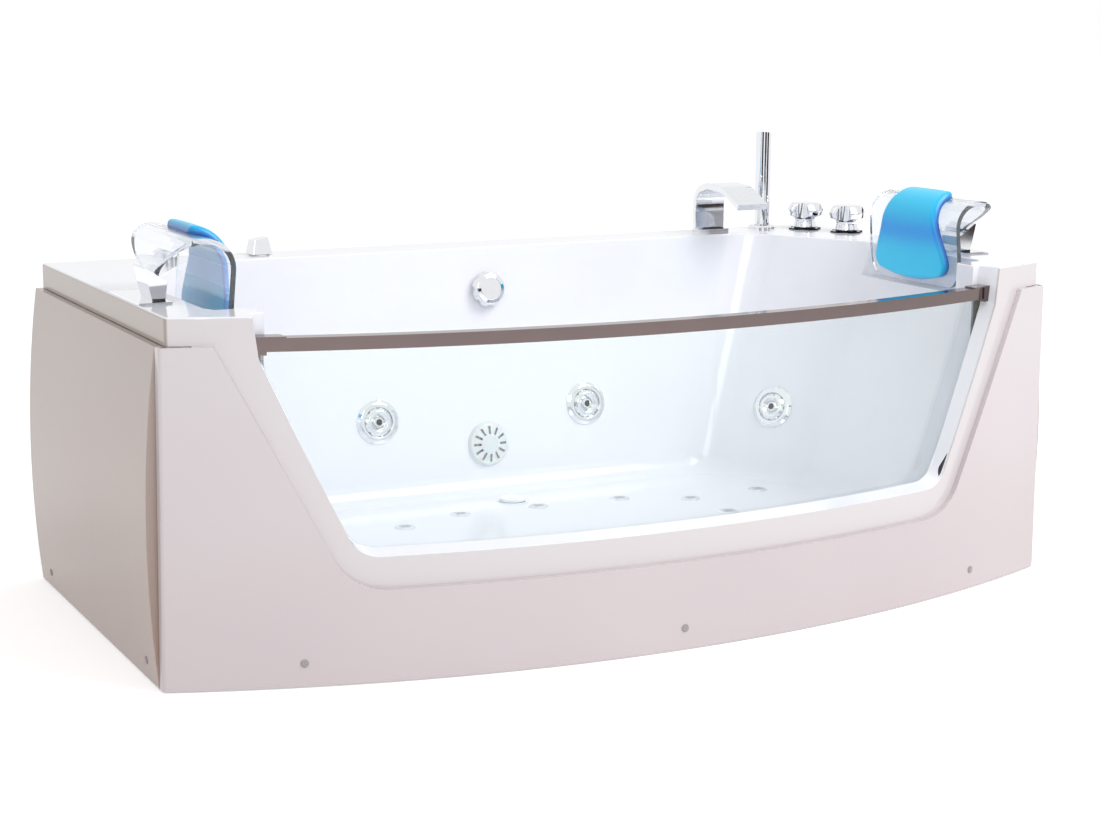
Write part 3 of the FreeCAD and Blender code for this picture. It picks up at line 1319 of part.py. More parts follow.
def water_main():
    """Pressure pipe from the pump over the jets, with a tee down to each."""
    ports = [port_line(JETS[n], PORT_DEPTH, PORT_REACH, MAIN_Z) for n in JETS]
    y = ports[0][1].y
    top = PUMP.multVec(V(DISCHARGE_X, -DISCHARGE_TOP, MOTOR_LENGTH + VOLUTE_LENGTH / 2))
    end = ports[-1][1]
    run = (end - V(MAIN_TURN_X, y, MAIN_Z)).normalize()
    last = end + run * MAIN_PAST
    main = [top, V(top.x, top.y, MAIN_Z), V(top.x, y, MAIN_Z), V(MAIN_TURN_X, y, MAIN_Z),
            last]
    tees = [([low, high], PORT_RADIUS, PORT_RADIUS - PORT_WALL) for low, high in ports]
    plug = rod(MAIN_RADIUS, last, last + run * MAIN_PLUG)
    return one(branched([main] + tees, MAIN_RADIUS, MAIN_BORE, PIPE_BEND).fuse(plug))


def air_main():
    """Air pipe from the deck valve to the air port of each jet."""
    ports = [port_line(JETS[n], AIR_PORT_DEPTH, AIR_PORT_REACH, AIR_Z) for n in JETS]
    y = ports[0][1].y
    x, valve_y = AIR_KNOB_AT
    end = ports[-1][1]
    main = [V(x, valve_y, DECK_HEIGHT - NECK_LENGTH - TAIL_LENGTH), V(x, valve_y, AIR_Z),
            V(x, y, AIR_Z), V(AIR_TURN_X, y, AIR_Z), end]
    tees = [([low, high], AIR_PORT_RADIUS, AIR_PORT_RADIUS - PORT_WALL) for low, high in ports]
    knuckle = Part.makeSphere(AIR_PIPE_RADIUS, end)
    hollow = Part.makeSphere(AIR_END_BORE, end)
    pipe = branched([main] + tees, AIR_PIPE_RADIUS, AIR_PIPE_BORE, AIR_BEND)
    return one(pipe.fuse(knuckle).cut([hollow, bent_rod(main, AIR_PIPE_BORE, AIR_BEND)]))


# ---------------------------------------------------------------- floor air jets

def floor_jet_cap():
    """Slotted cap on the floor with its stem through the shell."""
    side, rise = AIR_CAP_SHOULDER
    cap = turned([(0, 0), (AIR_CAP_RADIUS, 0), (AIR_CAP_RADIUS, AIR_CAP_EDGE),
                  (AIR_CAP_RADIUS - side, rise), (0, AIR_CAP_THICK)])
    low = V(0, 0, -SHELL_WALL - AIR_STEM_BELOW)
    stem = rod(AIR_STEM_RADIUS, low, V(0, 0, 0))
    cuts = [rod(AIR_STEM_BORE, low, V(0, 0, AIR_SLOT_FLOOR))]
    for i in range(AIR_CAP_SLOTS):
        y = AIR_SLOT_STEP * (i - 1)
        cuts.append(box(-AIR_SLOT_HALF, AIR_SLOT_HALF, y - AIR_SLOT_WIDTH / 2,
                        y + AIR_SLOT_WIDTH / 2, AIR_SLOT_FLOOR, AIR_CAP_THICK))
    return one(cap.fuse(stem).cut(cuts))


def floor_jet_cup():
    low = -SHELL_WALL - AIR_CUP_DEPTH
    cup = rod(AIR_CUP_RADIUS, V(0, 0, low), V(0, 0, -SHELL_WALL))
    room = rod(AIR_STEM_RADIUS + STUD_CLEAR, V(0, 0, low + AIR_CUP_FLOOR), V(0, 0, -SHELL_WALL))
    return cup.cut(room)


def floor_cups():
    return [placed(floor_jet_cup(), on_floor(p)).cut(hose_branch(p, AIR_BRANCH_BORE))
            for p in FLOOR_JETS]


def hose_level():
    return FLOOR_Z - SHELL_WALL - AIR_CUP_DEPTH + AIR_HOSE_RADIUS + AIR_CUP_FLOOR


def hose_branch(place, radius):
    """Straight run from the spine to the floor jet at place."""
    x, y = place
    return rod(radius, V(x, AIR_SPINE_Y, hose_level()), V(x, y, hose_level()))


def floor_air_hose():
    """Spine along the floor with a branch to each floor jet."""
    z = hose_level()
    first = min(x for x, y in FLOOR_JETS)
    end = BLOWER_AT[0] - BLOWER_RADIUS
    spine = [V(first, AIR_SPINE_Y, z), V(end, AIR_SPINE_Y, z)]
    outside = [hose_branch(place, AIR_BRANCH_RADIUS) for place in FLOOR_JETS]
    inside = [hose_branch(place, AIR_BRANCH_BORE) for place in FLOOR_JETS]
    knuckle = Part.makeSphere(AIR_HOSE_RADIUS, spine[0])
    shape = rod(AIR_HOSE_RADIUS, *spine).fuse(outside + [knuckle])
    shape = shape.cut([rod(AIR_HOSE_BORE, *spine)] + inside)
    return one(shape.cut([cup_block(p) for p in FLOOR_JETS]))


def cup_block(place):
    low = -SHELL_WALL - AIR_CUP_DEPTH
    return placed(rod(AIR_CUP_RADIUS, V(0, 0, low), V(0, 0, -SHELL_WALL)), on_floor(place))


# ---------------------------------------------------------------- pump and blower

PUMP = facing(V(PUMP_X, MOTOR_BACK_Y, PUMP_Z), BACK)     # local +Z runs along the shaft


def pump_motor():
    """Motor casing with a stepped end and a bore for the shaft."""
    end = MOTOR_LENGTH
    steps = [(MOTOR_RADIUS - inset, along) for inset, along in MOTOR_CAP]
    casing = turned([(0, 0)] + steps + [(MOTOR_RADIUS, end), (0, end)])
    terminal_box = box(-TERMINAL_HALF, TERMINAL_HALF, -MOTOR_RADIUS - TERMINAL_RISE, 0,
                       *TERMINAL_SPAN)
    bore = rod(SHAFT_RADIUS + TURN_CLEAR, V(0, 0, end - MOTOR_BORE), V(0, 0, end))
    return placed(one(casing.fuse(terminal_box).cut(bore)), PUMP)


def pump_volute():
    """Spiral casing reduced to a drum, with inlet stub and tangential discharge."""
    low = MOTOR_LENGTH
    high = low + VOLUTE_LENGTH
    middle = (low + high) / 2
    drum = rod(VOLUTE_RADIUS, V(0, 0, low), V(0, 0, high))
    inlet = rod(PIPE_RADIUS, V(0, 0, high), V(0, 0, high + PIPE_RADIUS))
    riser = rod(MAIN_RADIUS, V(DISCHARGE_X, 0, middle), V(DISCHARGE_X, -DISCHARGE_TOP, middle))
    room = rod(IMPELLER_RADIUS + VOLUTE_ROOM, V(0, 0, low + VOLUTE_WALL),
               V(0, 0, high - VOLUTE_WALL))
    cuts = [room, rod(PIPE_BORE, V(0, 0, middle), V(0, 0, high + PIPE_RADIUS)),
            rod(MAIN_BORE, V(DISCHARGE_X, 0, middle), V(DISCHARGE_X, -DISCHARGE_TOP, middle)),
            rod(SHAFT_RADIUS + TURN_CLEAR, V(0, 0, low), V(0, 0, middle))]
    return placed(one(drum.fuse([inlet, riser]).cut(cuts)), PUMP)


def pump_impeller():
    """Impeller disc with curved vanes reduced to straight ones, on its shaft."""
    middle = MOTOR_LENGTH + VOLUTE_LENGTH / 2
    low = middle - IMPELLER_THICK / 2
    high = middle + IMPELLER_THICK / 2
    disc = rod(IMPELLER_RADIUS, V(0, 0, low), V(0, 0, low + IMPELLER_DISC))
    vane = box(0, IMPELLER_RADIUS - VANE_SHORT, -VANE_THICK / 2, VANE_THICK / 2, low, high)
    shaft = rod(SHAFT_RADIUS, V(0, 0, MOTOR_LENGTH - SHAFT_LENGTH), V(0, 0, high))
    hub = rod(SHAFT_RADIUS + IMPELLER_HUB, V(0, 0, low), V(0, 0, high - HUB_SHORT))
    return placed(one(disc.fuse(spun(vane, VANES) + [shaft, hub])), PUMP)


def machine_plates():
    """Plates across the base tubes with saddles for the motor and a floor for the blower."""
    low = FRAME_Z + TUBE
    high = low + MACHINE_PLATE
    reach = RAIL_Y + TUBE / 2
    plate = box(PUMP_X + PUMP_PLATE[0], PUMP_X + PUMP_PLATE[1], -reach, reach, low, high)
    saddles = []
    for along in SADDLES:
        y = MOTOR_BACK_Y + along
        saddles.append(box(PUMP_X - SADDLE_HALF, PUMP_X + SADDLE_HALF, y, y + SADDLE_LONG, low,
                           PUMP_Z - SADDLE_TOP))
    motor = rod(MOTOR_RADIUS, V(PUMP_X, MOTOR_BACK_Y, PUMP_Z),
                V(PUMP_X, MOTOR_BACK_Y + MOTOR_LENGTH, PUMP_Z))
    pump_plate = one(plate.fuse(saddles).cut(motor))
    x = BLOWER_AT[0]
    blower_plate = box(x + BLOWER_PLATE[0], x + BLOWER_PLATE[1], -reach, reach, low, high)
    return [pump_plate, blower_plate]


def blower_housing():
    """Drum-shaped blower standing on its plate, outlet at the height of the floor hose."""
    x, y = BLOWER_AT
    low = FRAME_Z + TUBE + MACHINE_PLATE
    high = low + BLOWER_HEIGHT
    level = hose_level()
    floor = low + BLOWER_BASE
    side, fall = BLOWER_DOME
    drum = turned([(0, low), (BLOWER_RADIUS, low), (BLOWER_RADIUS, high - fall),
                   (BLOWER_RADIUS - side, high), (0, high)])
    turn = SHAFT_RADIUS + TURN_CLEAR
    room = ringed(FAN_RADIUS + FAN_ROOM, turn, floor, floor + FAN_THICK + FAN_HEADROOM)
    bore = rod(turn, V(0, 0, floor), V(0, 0, high - BLOWER_LID))
    drum = drum.cut([room, bore])
    drum.translate(V(x, y, 0))
    outlet = rod(AIR_HOSE_BORE, V(x - BLOWER_RADIUS, y, level), V(x - FAN_RADIUS, y, level))
    return one(drum.cut(outlet))


def blower_fan():
    x, y = BLOWER_AT
    low = FRAME_Z + TUBE + MACHINE_PLATE + FAN_Z
    disc = rod(FAN_RADIUS, V(0, 0, low), V(0, 0, low + FAN_DISC))
    blade = box(BLADE_FROM, FAN_RADIUS - BLADE_SHORT, -BLADE_THICK / 2, BLADE_THICK / 2, low,
                low + FAN_THICK)
    shaft = rod(SHAFT_RADIUS, V(0, 0, low), V(0, 0, low + FAN_SHAFT))
    fan = one(disc.fuse(spun(blade, FAN_BLADES) + [shaft]))
    fan.translate(V(x, y, 0))
    return fan


def control_box():
    """Control box on the end tube with a gland for the mains lead on its wall side."""
    a, b = BOX_SPAN
    body = box(a[0], b[0], a[1], b[1], a[2], b[2])
    upright = [e for e in body.Edges if abs(e.Vertexes[0].Z - e.Vertexes[-1].Z) > 1]
    body = body.makeFillet(BOX_EDGE, upright)
    face = V(GLAND_X, b[1], GLAND_Z)
    gland = rod(GLAND_RADIUS, face, face + BACK * GLAND_LENGTH)
    bore = rod(GLAND_BORE, face - BACK * GLAND_DEEP, face + BACK * GLAND_LENGTH)
    return one(body.fuse(gland).cut(bore))


# ---------------------------------------------------------------- frame and feet

def square_tube(start, end):
    """Square tube between two points along X, Y or Z; the points are on its axis."""
    half = TUBE / 2
    reach = end - start
    grow = [half if abs(c) < TOUCH else 0 for c in (reach.x, reach.y, reach.z)]
    corner = V(*grow)
    size = reach + corner * 2
    outer = Part.makeBox(size.x, size.y, size.z, start - corner)
    wall = V(*[TUBE_WALL if g else 0 for g in grow])
    size = size - wall * 2
    return outer, Part.makeBox(size.x, size.y, size.z, start - corner + wall)


def support_frame():
    """Welded base of square tubes with corner posts and pads under the basin."""
    z = FRAME_Z + TUBE / 2
    top = DECK_HEIGHT - SHELL_WALL
    end = POST_X - TUBE / 2
    runs = [(V(-end, side * RAIL_Y, z), V(end, side * RAIL_Y, z)) for side in (-1, 1)]
    for side in (-1, 1):
        x = side * POST_X
        runs.append((V(x, POST_FRONT_Y - TUBE / 2, z), V(x, POST_BACK_Y + TUBE / 2, z)))
        runs += [(V(x, y, FRAME_Z + TUBE), V(x, y, top)) for y in (POST_FRONT_Y, POST_BACK_Y)]
    tubes = [square_tube(*run) for run in runs]
    pads = []
    for x, side in PADS:
        y = side * RAIL_Y
        pads.append(box(x - PAD_HALF, x + PAD_HALF, y - PAD_HALF, y + PAD_HALF, FRAME_Z + TUBE,
                        FRAME_Z + TUBE + PAD_HEIGHT))
    walls = [outer.cut(inner) for outer, inner in tubes]
    frame = walls[0].fuse(walls[1:] + pads)
    return one(frame.cut([foot_hole(x, y) for x, y in foot_places()]))


def foot_places():
    inner = [(x, y) for x in (-FEET_INNER_X, FEET_INNER_X) for y in (-RAIL_Y, RAIL_Y)]
    return inner + [(x, y) for x in (-POST_X, POST_X) for y in FEET_OUTER_Y]


def foot_hole(x, y):
    return rod(STUD_RADIUS + STUD_CLEAR, V(x, y, FRAME_Z - 1), V(x, y, FRAME_Z + TUBE_WALL + 1))


def levelling_foot(x, y):
    disc = turned([(0, 0), (FOOT_RADIUS, 0), (FOOT_RADIUS, FOOT_EDGE),
                   (2 * STUD_RADIUS, FOOT_DISC), (0, FOOT_DISC)])
    disc.translate(V(x, y, 0))
    stud = rod(STUD_RADIUS, V(x, y, FOOT_DISC), V(x, y, FRAME_Z + STUD_UP))
    return disc.fuse(stud)


def foot_nut(x, y):
    across = NUT_ACROSS / math.sqrt(3)
    corners = [V(x + across * math.cos(math.radians(a)), y + across * math.sin(math.radians(a)),
                 FRAME_Z - NUT_HEIGHT) for a in range(0, 360, 60)]
    nut = Part.Face(Part.makePolygon(corners + corners[:1])).extrude(V(0, 0, NUT_HEIGHT))
    return nut.cut(rod(STUD_RADIUS + STUD_CLEAR, V(x, y, 0), V(x, y, FRAME_Z)))


def panel_brackets():
    """Flat bars under the frame that reach the cover screws."""
    bars = []
    for x, z in FRONT_SCREWS:
        place = front_screw_place(x, z)
        near = place.multVec(V(0, 0, -APRON_WALL - FACE_CLEAR))
        bar = box(x - TAB_HALF, x + TAB_HALF, near.y + FRONT_BAR_BACK, -RAIL_Y,
                  FRAME_Z - BAR_THICK, FRAME_Z)
        tab = placed(upright_tab(FRAME_Z - z), place)
        bar = bar.common(behind_bow(APRON_WALL + FACE_CLEAR, 0, FRAME_Z))
        bars.append(one(bar.fuse(tab).cut(screw_clear(place))))
    right = []
    for y, z in SIDE_SCREWS:
        place = side_screw_place(y, z)
        near = place.multVec(V(0, 0, -APRON_WALL - FACE_CLEAR))
        bar = box(POST_X, near.x - SIDE_BAR_BACK, y - TAB_HALF, y + TAB_HALF,
                  FRAME_Z - BAR_THICK, FRAME_Z)
        tab = placed(upright_tab(FRAME_Z - z), place)
        right.append(one(bar.fuse(tab).cut(screw_clear(place))))
    return bars + right + [mirrored(b) for b in right]


def upright_tab(rise):
    """Tab behind a panel in screw coordinates: local Y is up, local Z outward."""
    outer = -APRON_WALL - FACE_CLEAR
    return box(-TAB_HALF, TAB_HALF, -TAB_BELOW, rise, outer - TAB_SHEET, outer)


def screw_clear(place):
    return placed(rod(SCREW_RADIUS, V(0, 0, -SCREW_LENGTH), V(0, 0, 0)), place)


# ---------------------------------------------------------------- deck valves and handles

def neck(bore):
    """Threaded bushing through the deck with a lip on top; local z = 0 is the deck."""
    low = -NECK_LENGTH
    return turned([(bore, low), (DECK_NECK, low), (DECK_NECK, 0), (NECK_LIP_RADIUS, 0),
                   (NECK_LIP_RADIUS, NECK_LIP), (bore, NECK_LIP)])


def deck_nut(radius=DECK_NECK):
    return ringed(radius + NUT_WALL, radius + STUD_CLEAR, -SHELL_WALL - DECK_NUT_THICK, -SHELL_WALL)


def air_valve():
    """Air valve body below the deck with its nut and tail pipe."""
    low = -NECK_LENGTH
    body = neck(SPINDLE_RADIUS + TURN_CLEAR)
    tail = ringed(AIR_PIPE_RADIUS, SPINDLE_RADIUS + TURN_CLEAR, low - TAIL_LENGTH, low)
    return placed(one(body.fuse(tail)), on_deck(AIR_KNOB_AT))


def air_knob():
    """Tapered chrome block on a spindle."""
    low = NECK_LIP + FACE_CLEAR
    base, top = KNOB_BASE / 2, KNOB_TOP / 2
    square = [(-1, -1), (1, -1), (1, 1), (-1, 1)]
    wires = [rounded_wire([(base * a, base * b) for a, b in square], [KNOB_ROUND] * 4, flat(low)),
             rounded_wire([(top * a, top * b) for a, b in square], [KNOB_ROUND] * 4,
                          flat(low + KNOB_HEIGHT))]
    block = Part.makeLoft(wires, True, True)
    half = KNOB_TOOL / 2
    slope = box(-half, half, -half, half, 0, half)
    slope.rotate(V(0, 0, 0), BACK, -KNOB_SLANT)
    slope.translate(V(0, 0, low + KNOB_HEIGHT - KNOB_SLANT_DROP))
    spindle = rod(SPINDLE_RADIUS, V(0, 0, SPINDLE_SHORT - NECK_LENGTH), V(0, 0, low + 1))
    return placed(one(block.cut(slope).fuse(spindle)), on_deck(AIR_KNOB_AT))


def button_housing():
    """Bezel on the deck with the air chamber of the switch below it."""
    r = BUTTON_RADIUS + TURN_CLEAR
    floor = BEZEL_HEIGHT - BUTTON_PROUD - BUTTON_TRAVEL
    body = turned([(0, -NECK_LENGTH), (DECK_NECK, -NECK_LENGTH), (DECK_NECK, 0),
                   (BEZEL_RADIUS, 0), (BEZEL_RADIUS, BEZEL_HEIGHT - BEZEL_BEVEL),
                   (BEZEL_RADIUS - BEZEL_BEVEL, BEZEL_HEIGHT), (r, BEZEL_HEIGHT), (r, floor),
                   (SPINDLE_RADIUS + TURN_CLEAR, floor),
                   (SPINDLE_RADIUS + TURN_CLEAR, SPINDLE_SHORT - NECK_LENGTH),
                   (0, SPINDLE_SHORT - NECK_LENGTH)])
    return placed(body, on_deck(POWER_BUTTON_AT))


def power_button():
    low = BEZEL_HEIGHT - BUTTON_PROUD + FACE_CLEAR
    high = BEZEL_HEIGHT + BUTTON_PROUD
    side, fall = BUTTON_EDGE
    cap = turned([(0, low), (BUTTON_RADIUS, low), (BUTTON_RADIUS, high - fall),
                  (BUTTON_RADIUS - side, high), (0, high - BUTTON_DISH)])
    stem = rod(SPINDLE_RADIUS, V(0, 0, STEM_SHORT - NECK_LENGTH), V(0, 0, low))
    return placed(one(cap.fuse(stem)), on_deck(POWER_BUTTON_AT))


def tap_valve():
    """Valve body under a handle with its supply tail on an arm beside it."""
    turn = SPINDLE_RADIUS + TURN_CLEAR
    body = turned([(0, -VALVE_LENGTH), (VALVE_RADIUS, -VALVE_LENGTH),
                   (VALVE_RADIUS, -NECK_LENGTH), (DECK_NECK, -NECK_LENGTH), (DECK_NECK, 0),
                   (NECK_LIP_RADIUS, 0), (NECK_LIP_RADIUS, NECK_LIP), (turn, NECK_LIP),
                   (turn, VALVE_FLOOR - NECK_LENGTH), (0, VALVE_FLOOR - NECK_LENGTH)])
    start = V(0, 0, MIXER_Z - DECK_HEIGHT)
    corner = start - RIGHT * TAIL_OFFSET
    collar = corner - UP * ELBOW_COLLAR
    low = collar - UP * TAIL_LENGTH
    elbow = bent_rod([start, corner, collar], ELBOW_RADIUS, ELBOW_BEND)
    bore = bent_rod([start, corner, low], TAIL_BORE, ELBOW_BEND)
    return one(body.fuse([elbow, rod(TAIL_RADIUS, low, collar)]).cut(bore))


def tap_plate():
    """Thin star-shaped plate on the deck under a handle."""
    r = TAP_RADIUS - PLATE_IN
    plate = ringed(r, NECK_LIP_RADIUS + FACE_CLEAR, 0, TAP_PLATE)
    spots = ring_spots(TAP_LOBES, r + PLATE_NOTCH_OUT, 0.5)
    return one(plate.cut([rod(PLATE_NOTCH, spot, spot + UP * TAP_PLATE) for spot in spots]))


def tap_handle():
    """Lobed crown on a waisted skirt; the spindle goes down into the valve."""
    low = TAP_PLATE + FACE_CLEAR
    points = [(0, low), (TAP_FOOT, low), TAP_WAIST, TAP_UNDER, (TAP_RADIUS, TAP_EDGE_Z),
              (TAP_CROWN, TAP_TOP), (0, TAP_TOP)]
    crown = turned_soft(points, TAP_SKIRT_ROUNDS)
    spots = ring_spots(TAP_LOBES, TAP_RADIUS + TAP_FLUTE_OUT, 0.5)
    flutes = [rod(TAP_FLUTE, spot, spot + UP * 2 * TAP_TOP) for spot in spots]
    spindle = rod(SPINDLE_RADIUS, V(0, 0, STEM_SHORT - NECK_LENGTH), V(0, 0, low + 1))
    return one(crown.cut(flutes).fuse(spindle))


def mixer_pipes():
    """Brass pipe that joins both valves to the shower socket and the spout."""
    places = [COLD_TAP_AT, HOT_TAP_AT, SHOWER_AT, (SPOUT_X, SPOUT_NECK_Y)]
    points = [V(x, y, MIXER_Z) for x, y in places]
    shower, arch = points[2:]
    ends = [(a, b) for a, b in zip(points, points[1:])]
    ends.append((arch, V(arch.x, arch.y, DECK_HEIGHT - NECK_LENGTH)))
    ends.append((shower, V(shower.x, shower.y, DECK_HEIGHT - SPIGOT_LENGTH - SOCKET_FLOOR)))
    outside = [rod(MIXER_PIPE, a, b) for a, b in ends]
    outside += [Part.makeSphere(MIXER_PIPE, p) for p in (shower, arch)]
    pipe = outside[0].fuse(outside[1:]).cut([rod(MIXER_BORE, a, b) for a, b in ends])
    blocks = [rod(VALVE_RADIUS, V(x, y, 0), V(x, y, DECK_HEIGHT)) for x, y in places[:2]]
    return pipe.cut(blocks).removeSplitter().Solids


def offset_path(points, shift):
    """The corner points of a flat polyline moved to its right by shift."""
    lines = [line_past(p, q, shift) for p, q in zip(points, points[1:])]
    first, last = lines[0][0], lines[-1][0]
    ends = [(points[0][0] + first[0] * shift, points[0][1] + first[1] * shift),
            (points[-1][0] + last[0] * shift, points[-1][1] + last[1] * shift)]
    return [ends[0]] + [meet(a, b) for a, b in zip(lines, lines[1:])] + [ends[1]]


def strip(points, bends, thick, to_space, run):
    """Bent flat strip: outline of its outer face, which turns towards the inner one."""
    inner = offset_path(points, thick)
    inner_bends = [max(b - abs(thick), 0) for b in bends]
    wire = rounded_wire(points + inner[::-1], bends + inner_bends[::-1], to_space)
    return Part.Face(wire).extrude(run)


def spout():
    """Waterfall spout: a wide strip bent over in an arch, on a foot plate."""
    x0 = SPOUT_X - SPOUT_WIDTH / 2
    arch = strip(SPOUT_OUTLINE, SPOUT_BENDS, -SPOUT_THICK, along_x(x0), V(SPOUT_WIDTH, 0, 0))
    long_edges = [e for e in arch.Edges if e.BoundBox.XLength < TOUCH]
    arch = arch.makeFillet(SPOUT_EDGE, long_edges)
    back = SPOUT_OUTLINE[0][0]
    foot = box(x0, x0 + SPOUT_WIDTH, 2 * SPOUT_NECK_Y - back, back, DECK_HEIGHT,
               DECK_HEIGHT + SPOUT_FOOT)
    return one(arch.fuse(foot))


def spout_shank():
    place = on_deck((SPOUT_X, SPOUT_NECK_Y))
    shank = ringed(SPOUT_NECK, MIXER_PIPE, -NECK_LENGTH, 0)
    return placed(shank, place)


def hand_shower():
    """Stick hand shower standing in its socket."""
    low = SOCKET_HEIGHT + FACE_CLEAR
    top = SHOWER_TOP - DECK_HEIGHT
    handle = rod(SHOWER_RADIUS, V(0, 0, low), V(0, 0, top))
    reach = 2 * SHOWER_RADIUS
    slant = box(-reach, reach, -reach, reach, 0, reach)
    slant.rotate(V(0, 0, 0), BACK, SHOWER_SLANT)
    slant.translate(V(0, 0, top - SHOWER_SLANT_DROP))
    spigot = rod(SHOWER_SPIGOT, V(0, 0, SPIGOT_SHORT - SPIGOT_LENGTH), V(0, 0, low))
    return placed(one(handle.cut(slant).fuse(spigot)), on_deck(SHOWER_AT))


def shower_socket():
    bore = SHOWER_SPIGOT + TURN_CLEAR
    ring = turned([(bore, -SPIGOT_LENGTH), (SHOWER_RADIUS, -SPIGOT_LENGTH), (SHOWER_RADIUS, 0),
                   (SOCKET_RADIUS, 0), (SOCKET_RADIUS, SOCKET_HEIGHT - SOCKET_BEVEL),
                   (SOCKET_RADIUS - SOCKET_BEVEL, SOCKET_HEIGHT), (bore, SOCKET_HEIGHT)])
    floor = ringed(SHOWER_RADIUS, MIXER_BORE, -SPIGOT_LENGTH - SOCKET_FLOOR, -SPIGOT_LENGTH)
    return placed(one(ring.fuse(floor)), on_deck(SHOWER_AT))


def deck_nuts():
    """Nuts that clamp every deck fitting from below."""
    wide = [AIR_KNOB_AT, POWER_BUTTON_AT, HOT_TAP_AT, COLD_TAP_AT]
    nuts = [placed(deck_nut(), on_deck(p)) for p in wide]
    nuts.append(placed(deck_nut(SPOUT_NECK), on_deck((SPOUT_X, SPOUT_NECK_Y))))
    nuts.append(placed(deck_nut(SHOWER_RADIUS), on_deck(SHOWER_AT)))
    return nuts


# ---------------------------------------------------------------- headrests

def headrest_band():
    """Clear bent band: an inverted U that narrows to the leg in the clamp."""
    bends = [0, BAND_BEND, BAND_BEND, 0]
    band = strip(BAND_OUTLINE, bends, BAND_THICK, along_y(HEADREST_Y - BAND_WIDTH / 2),
                 V(0, BAND_WIDTH, 0))
    crest = BAND_OUTLINE[1][1]
    low = BAND_OUTLINE[0][1]
    half, neck_half = BAND_WIDTH / 2, BAND_NECK / 2
    shape = [(-half, 2 * crest - low), (-half, crest - BAND_THICK), (-neck_half, BAND_NECK_Z),
             (-neck_half, low), (neck_half, low), (neck_half, BAND_NECK_Z),
             (half, crest - BAND_THICK), (half, 2 * crest - low)]
    wide, slim = BAND_SHOULDER_ROUND, BAND_NECK_ROUND
    wire = rounded_wire([(HEADREST_Y + a, b) for a, b in shape],
                        [0, wide, slim, 0, 0, slim, wide, 0], along_x(BAND_TAPER_X))
    keep_outer = Part.Face(wire).extrude(V(FAR, 0, 0))
    leaf = [(-half, low), (half, low), (half, crest + 1), (-half, crest + 1)]
    wire = rounded_wire([(HEADREST_Y + a, b) for a, b in leaf],
                        [BAND_TIP_ROUND, BAND_TIP_ROUND, 0, 0], along_x(0))
    keep_inner = Part.Face(wire).extrude(V(BAND_TAPER_X, 0, 0))
    return one(band.common(keep_outer.fuse(keep_inner)))


def pad_stations():
    """Places along the outside of the band with the half width and thickness there."""
    outline = offset_path(BAND_OUTLINE, -PAD_SIT)
    foot, crest = outline[:2]
    share = PAD_START / math.dist(foot, crest)
    start = (foot[0] + share * (crest[0] - foot[0]), foot[1] + share * (crest[1] - foot[1]))
    wire = rounded_open([start, crest, (PAD_END_X, crest[1])], BAND_BEND + PAD_SIT)
    points = wire.discretize(Number=len(PAD_WIDTHS))
    stations = []
    for i, point in enumerate(points):
        run = points[min(i + 1, len(points) - 1)] - points[max(i - 1, 0)]
        normal = run.normalize().cross(BACK)
        stations.append((point, normal, PAD_WIDTH / 2 * PAD_WIDTHS[i],
                         PAD_THICK * PAD_HEIGHTS[i]))
    return stations


def rounded_open(points, bend):
    """Open flat path of two runs joined by an arc, in the X-Z plane."""
    a, b, c = [V(x, 0, z) for x, z in points]
    u = (a - b).normalize()
    w = (c - b).normalize()
    half = u.getAngle(w) / 2
    reach = bend / math.tan(half)
    middle = b + (u + w).normalize() * (bend / math.sin(half) - bend)
    arc = Part.Arc(b + u * reach, middle, b + w * reach).toShape()
    return Part.Wire([Part.LineSegment(a, b + u * reach).toShape(), arc,
                      Part.LineSegment(b + w * reach, c).toShape()])


def pad_section(point, normal, half, thick):
    """Closed wire across the pad: flat base, rounded sides and a crowned top."""
    shoulder = half - min(PAD_SHOULDER_IN, thick)
    side = half - PAD_SIDE_IN
    foot = half - PAD_EDGE_IN
    spots = [(-foot, 0), (-side, PAD_SIDE_RISE), (-shoulder, PAD_SHOULDER_RISE), (0, 1),
             (shoulder, PAD_SHOULDER_RISE), (side, PAD_SIDE_RISE), (foot, 0)]
    line = [V(point.x, HEADREST_Y + y, point.z) + normal * (share * thick)
            for y, share in spots]
    arcs = [Part.Arc(*line[i:i + 3]).toShape() for i in (0, 2, 4)]
    return Part.Wire([Part.LineSegment(line[-1], line[0]).toShape()] + arcs)


def headrest_pad():
    """Soft pad with a crown and drawn-in sides, laid over the outside of the band."""
    return Part.makeLoft([pad_section(*station) for station in pad_stations()], True, False)


def headrest_clamp():
    """Wedge-shaped clamp that grips the end of the band."""
    y0 = HEADREST_Y + CLAMP_SHIFT - CLAMP_LENGTH / 2
    wire = rounded_wire(CLAMP_OUTLINE, [0, 0, CLAMP_ROUND, CLAMP_ROUND], along_y(y0))
    block = Part.Face(wire).extrude(V(0, CLAMP_LENGTH, 0))
    return one(block.cut(headrest_band()))


def headrest_plate():
    """Flat plate on the deck that the clamp stands on."""
    x0, x1 = [HALF_LENGTH - inset for inset in PLATE_INSETS]
    y0, y1 = [HEADREST_Y + reach for reach in PLATE_REACH]
    return box(x0, x1, y0, y1, DECK_HEIGHT, DECK_HEIGHT + PLATE_THICK)


# ---------------------------------------------------------------- assembly

def pair(shape):
    return [shape, mirrored(shape)]


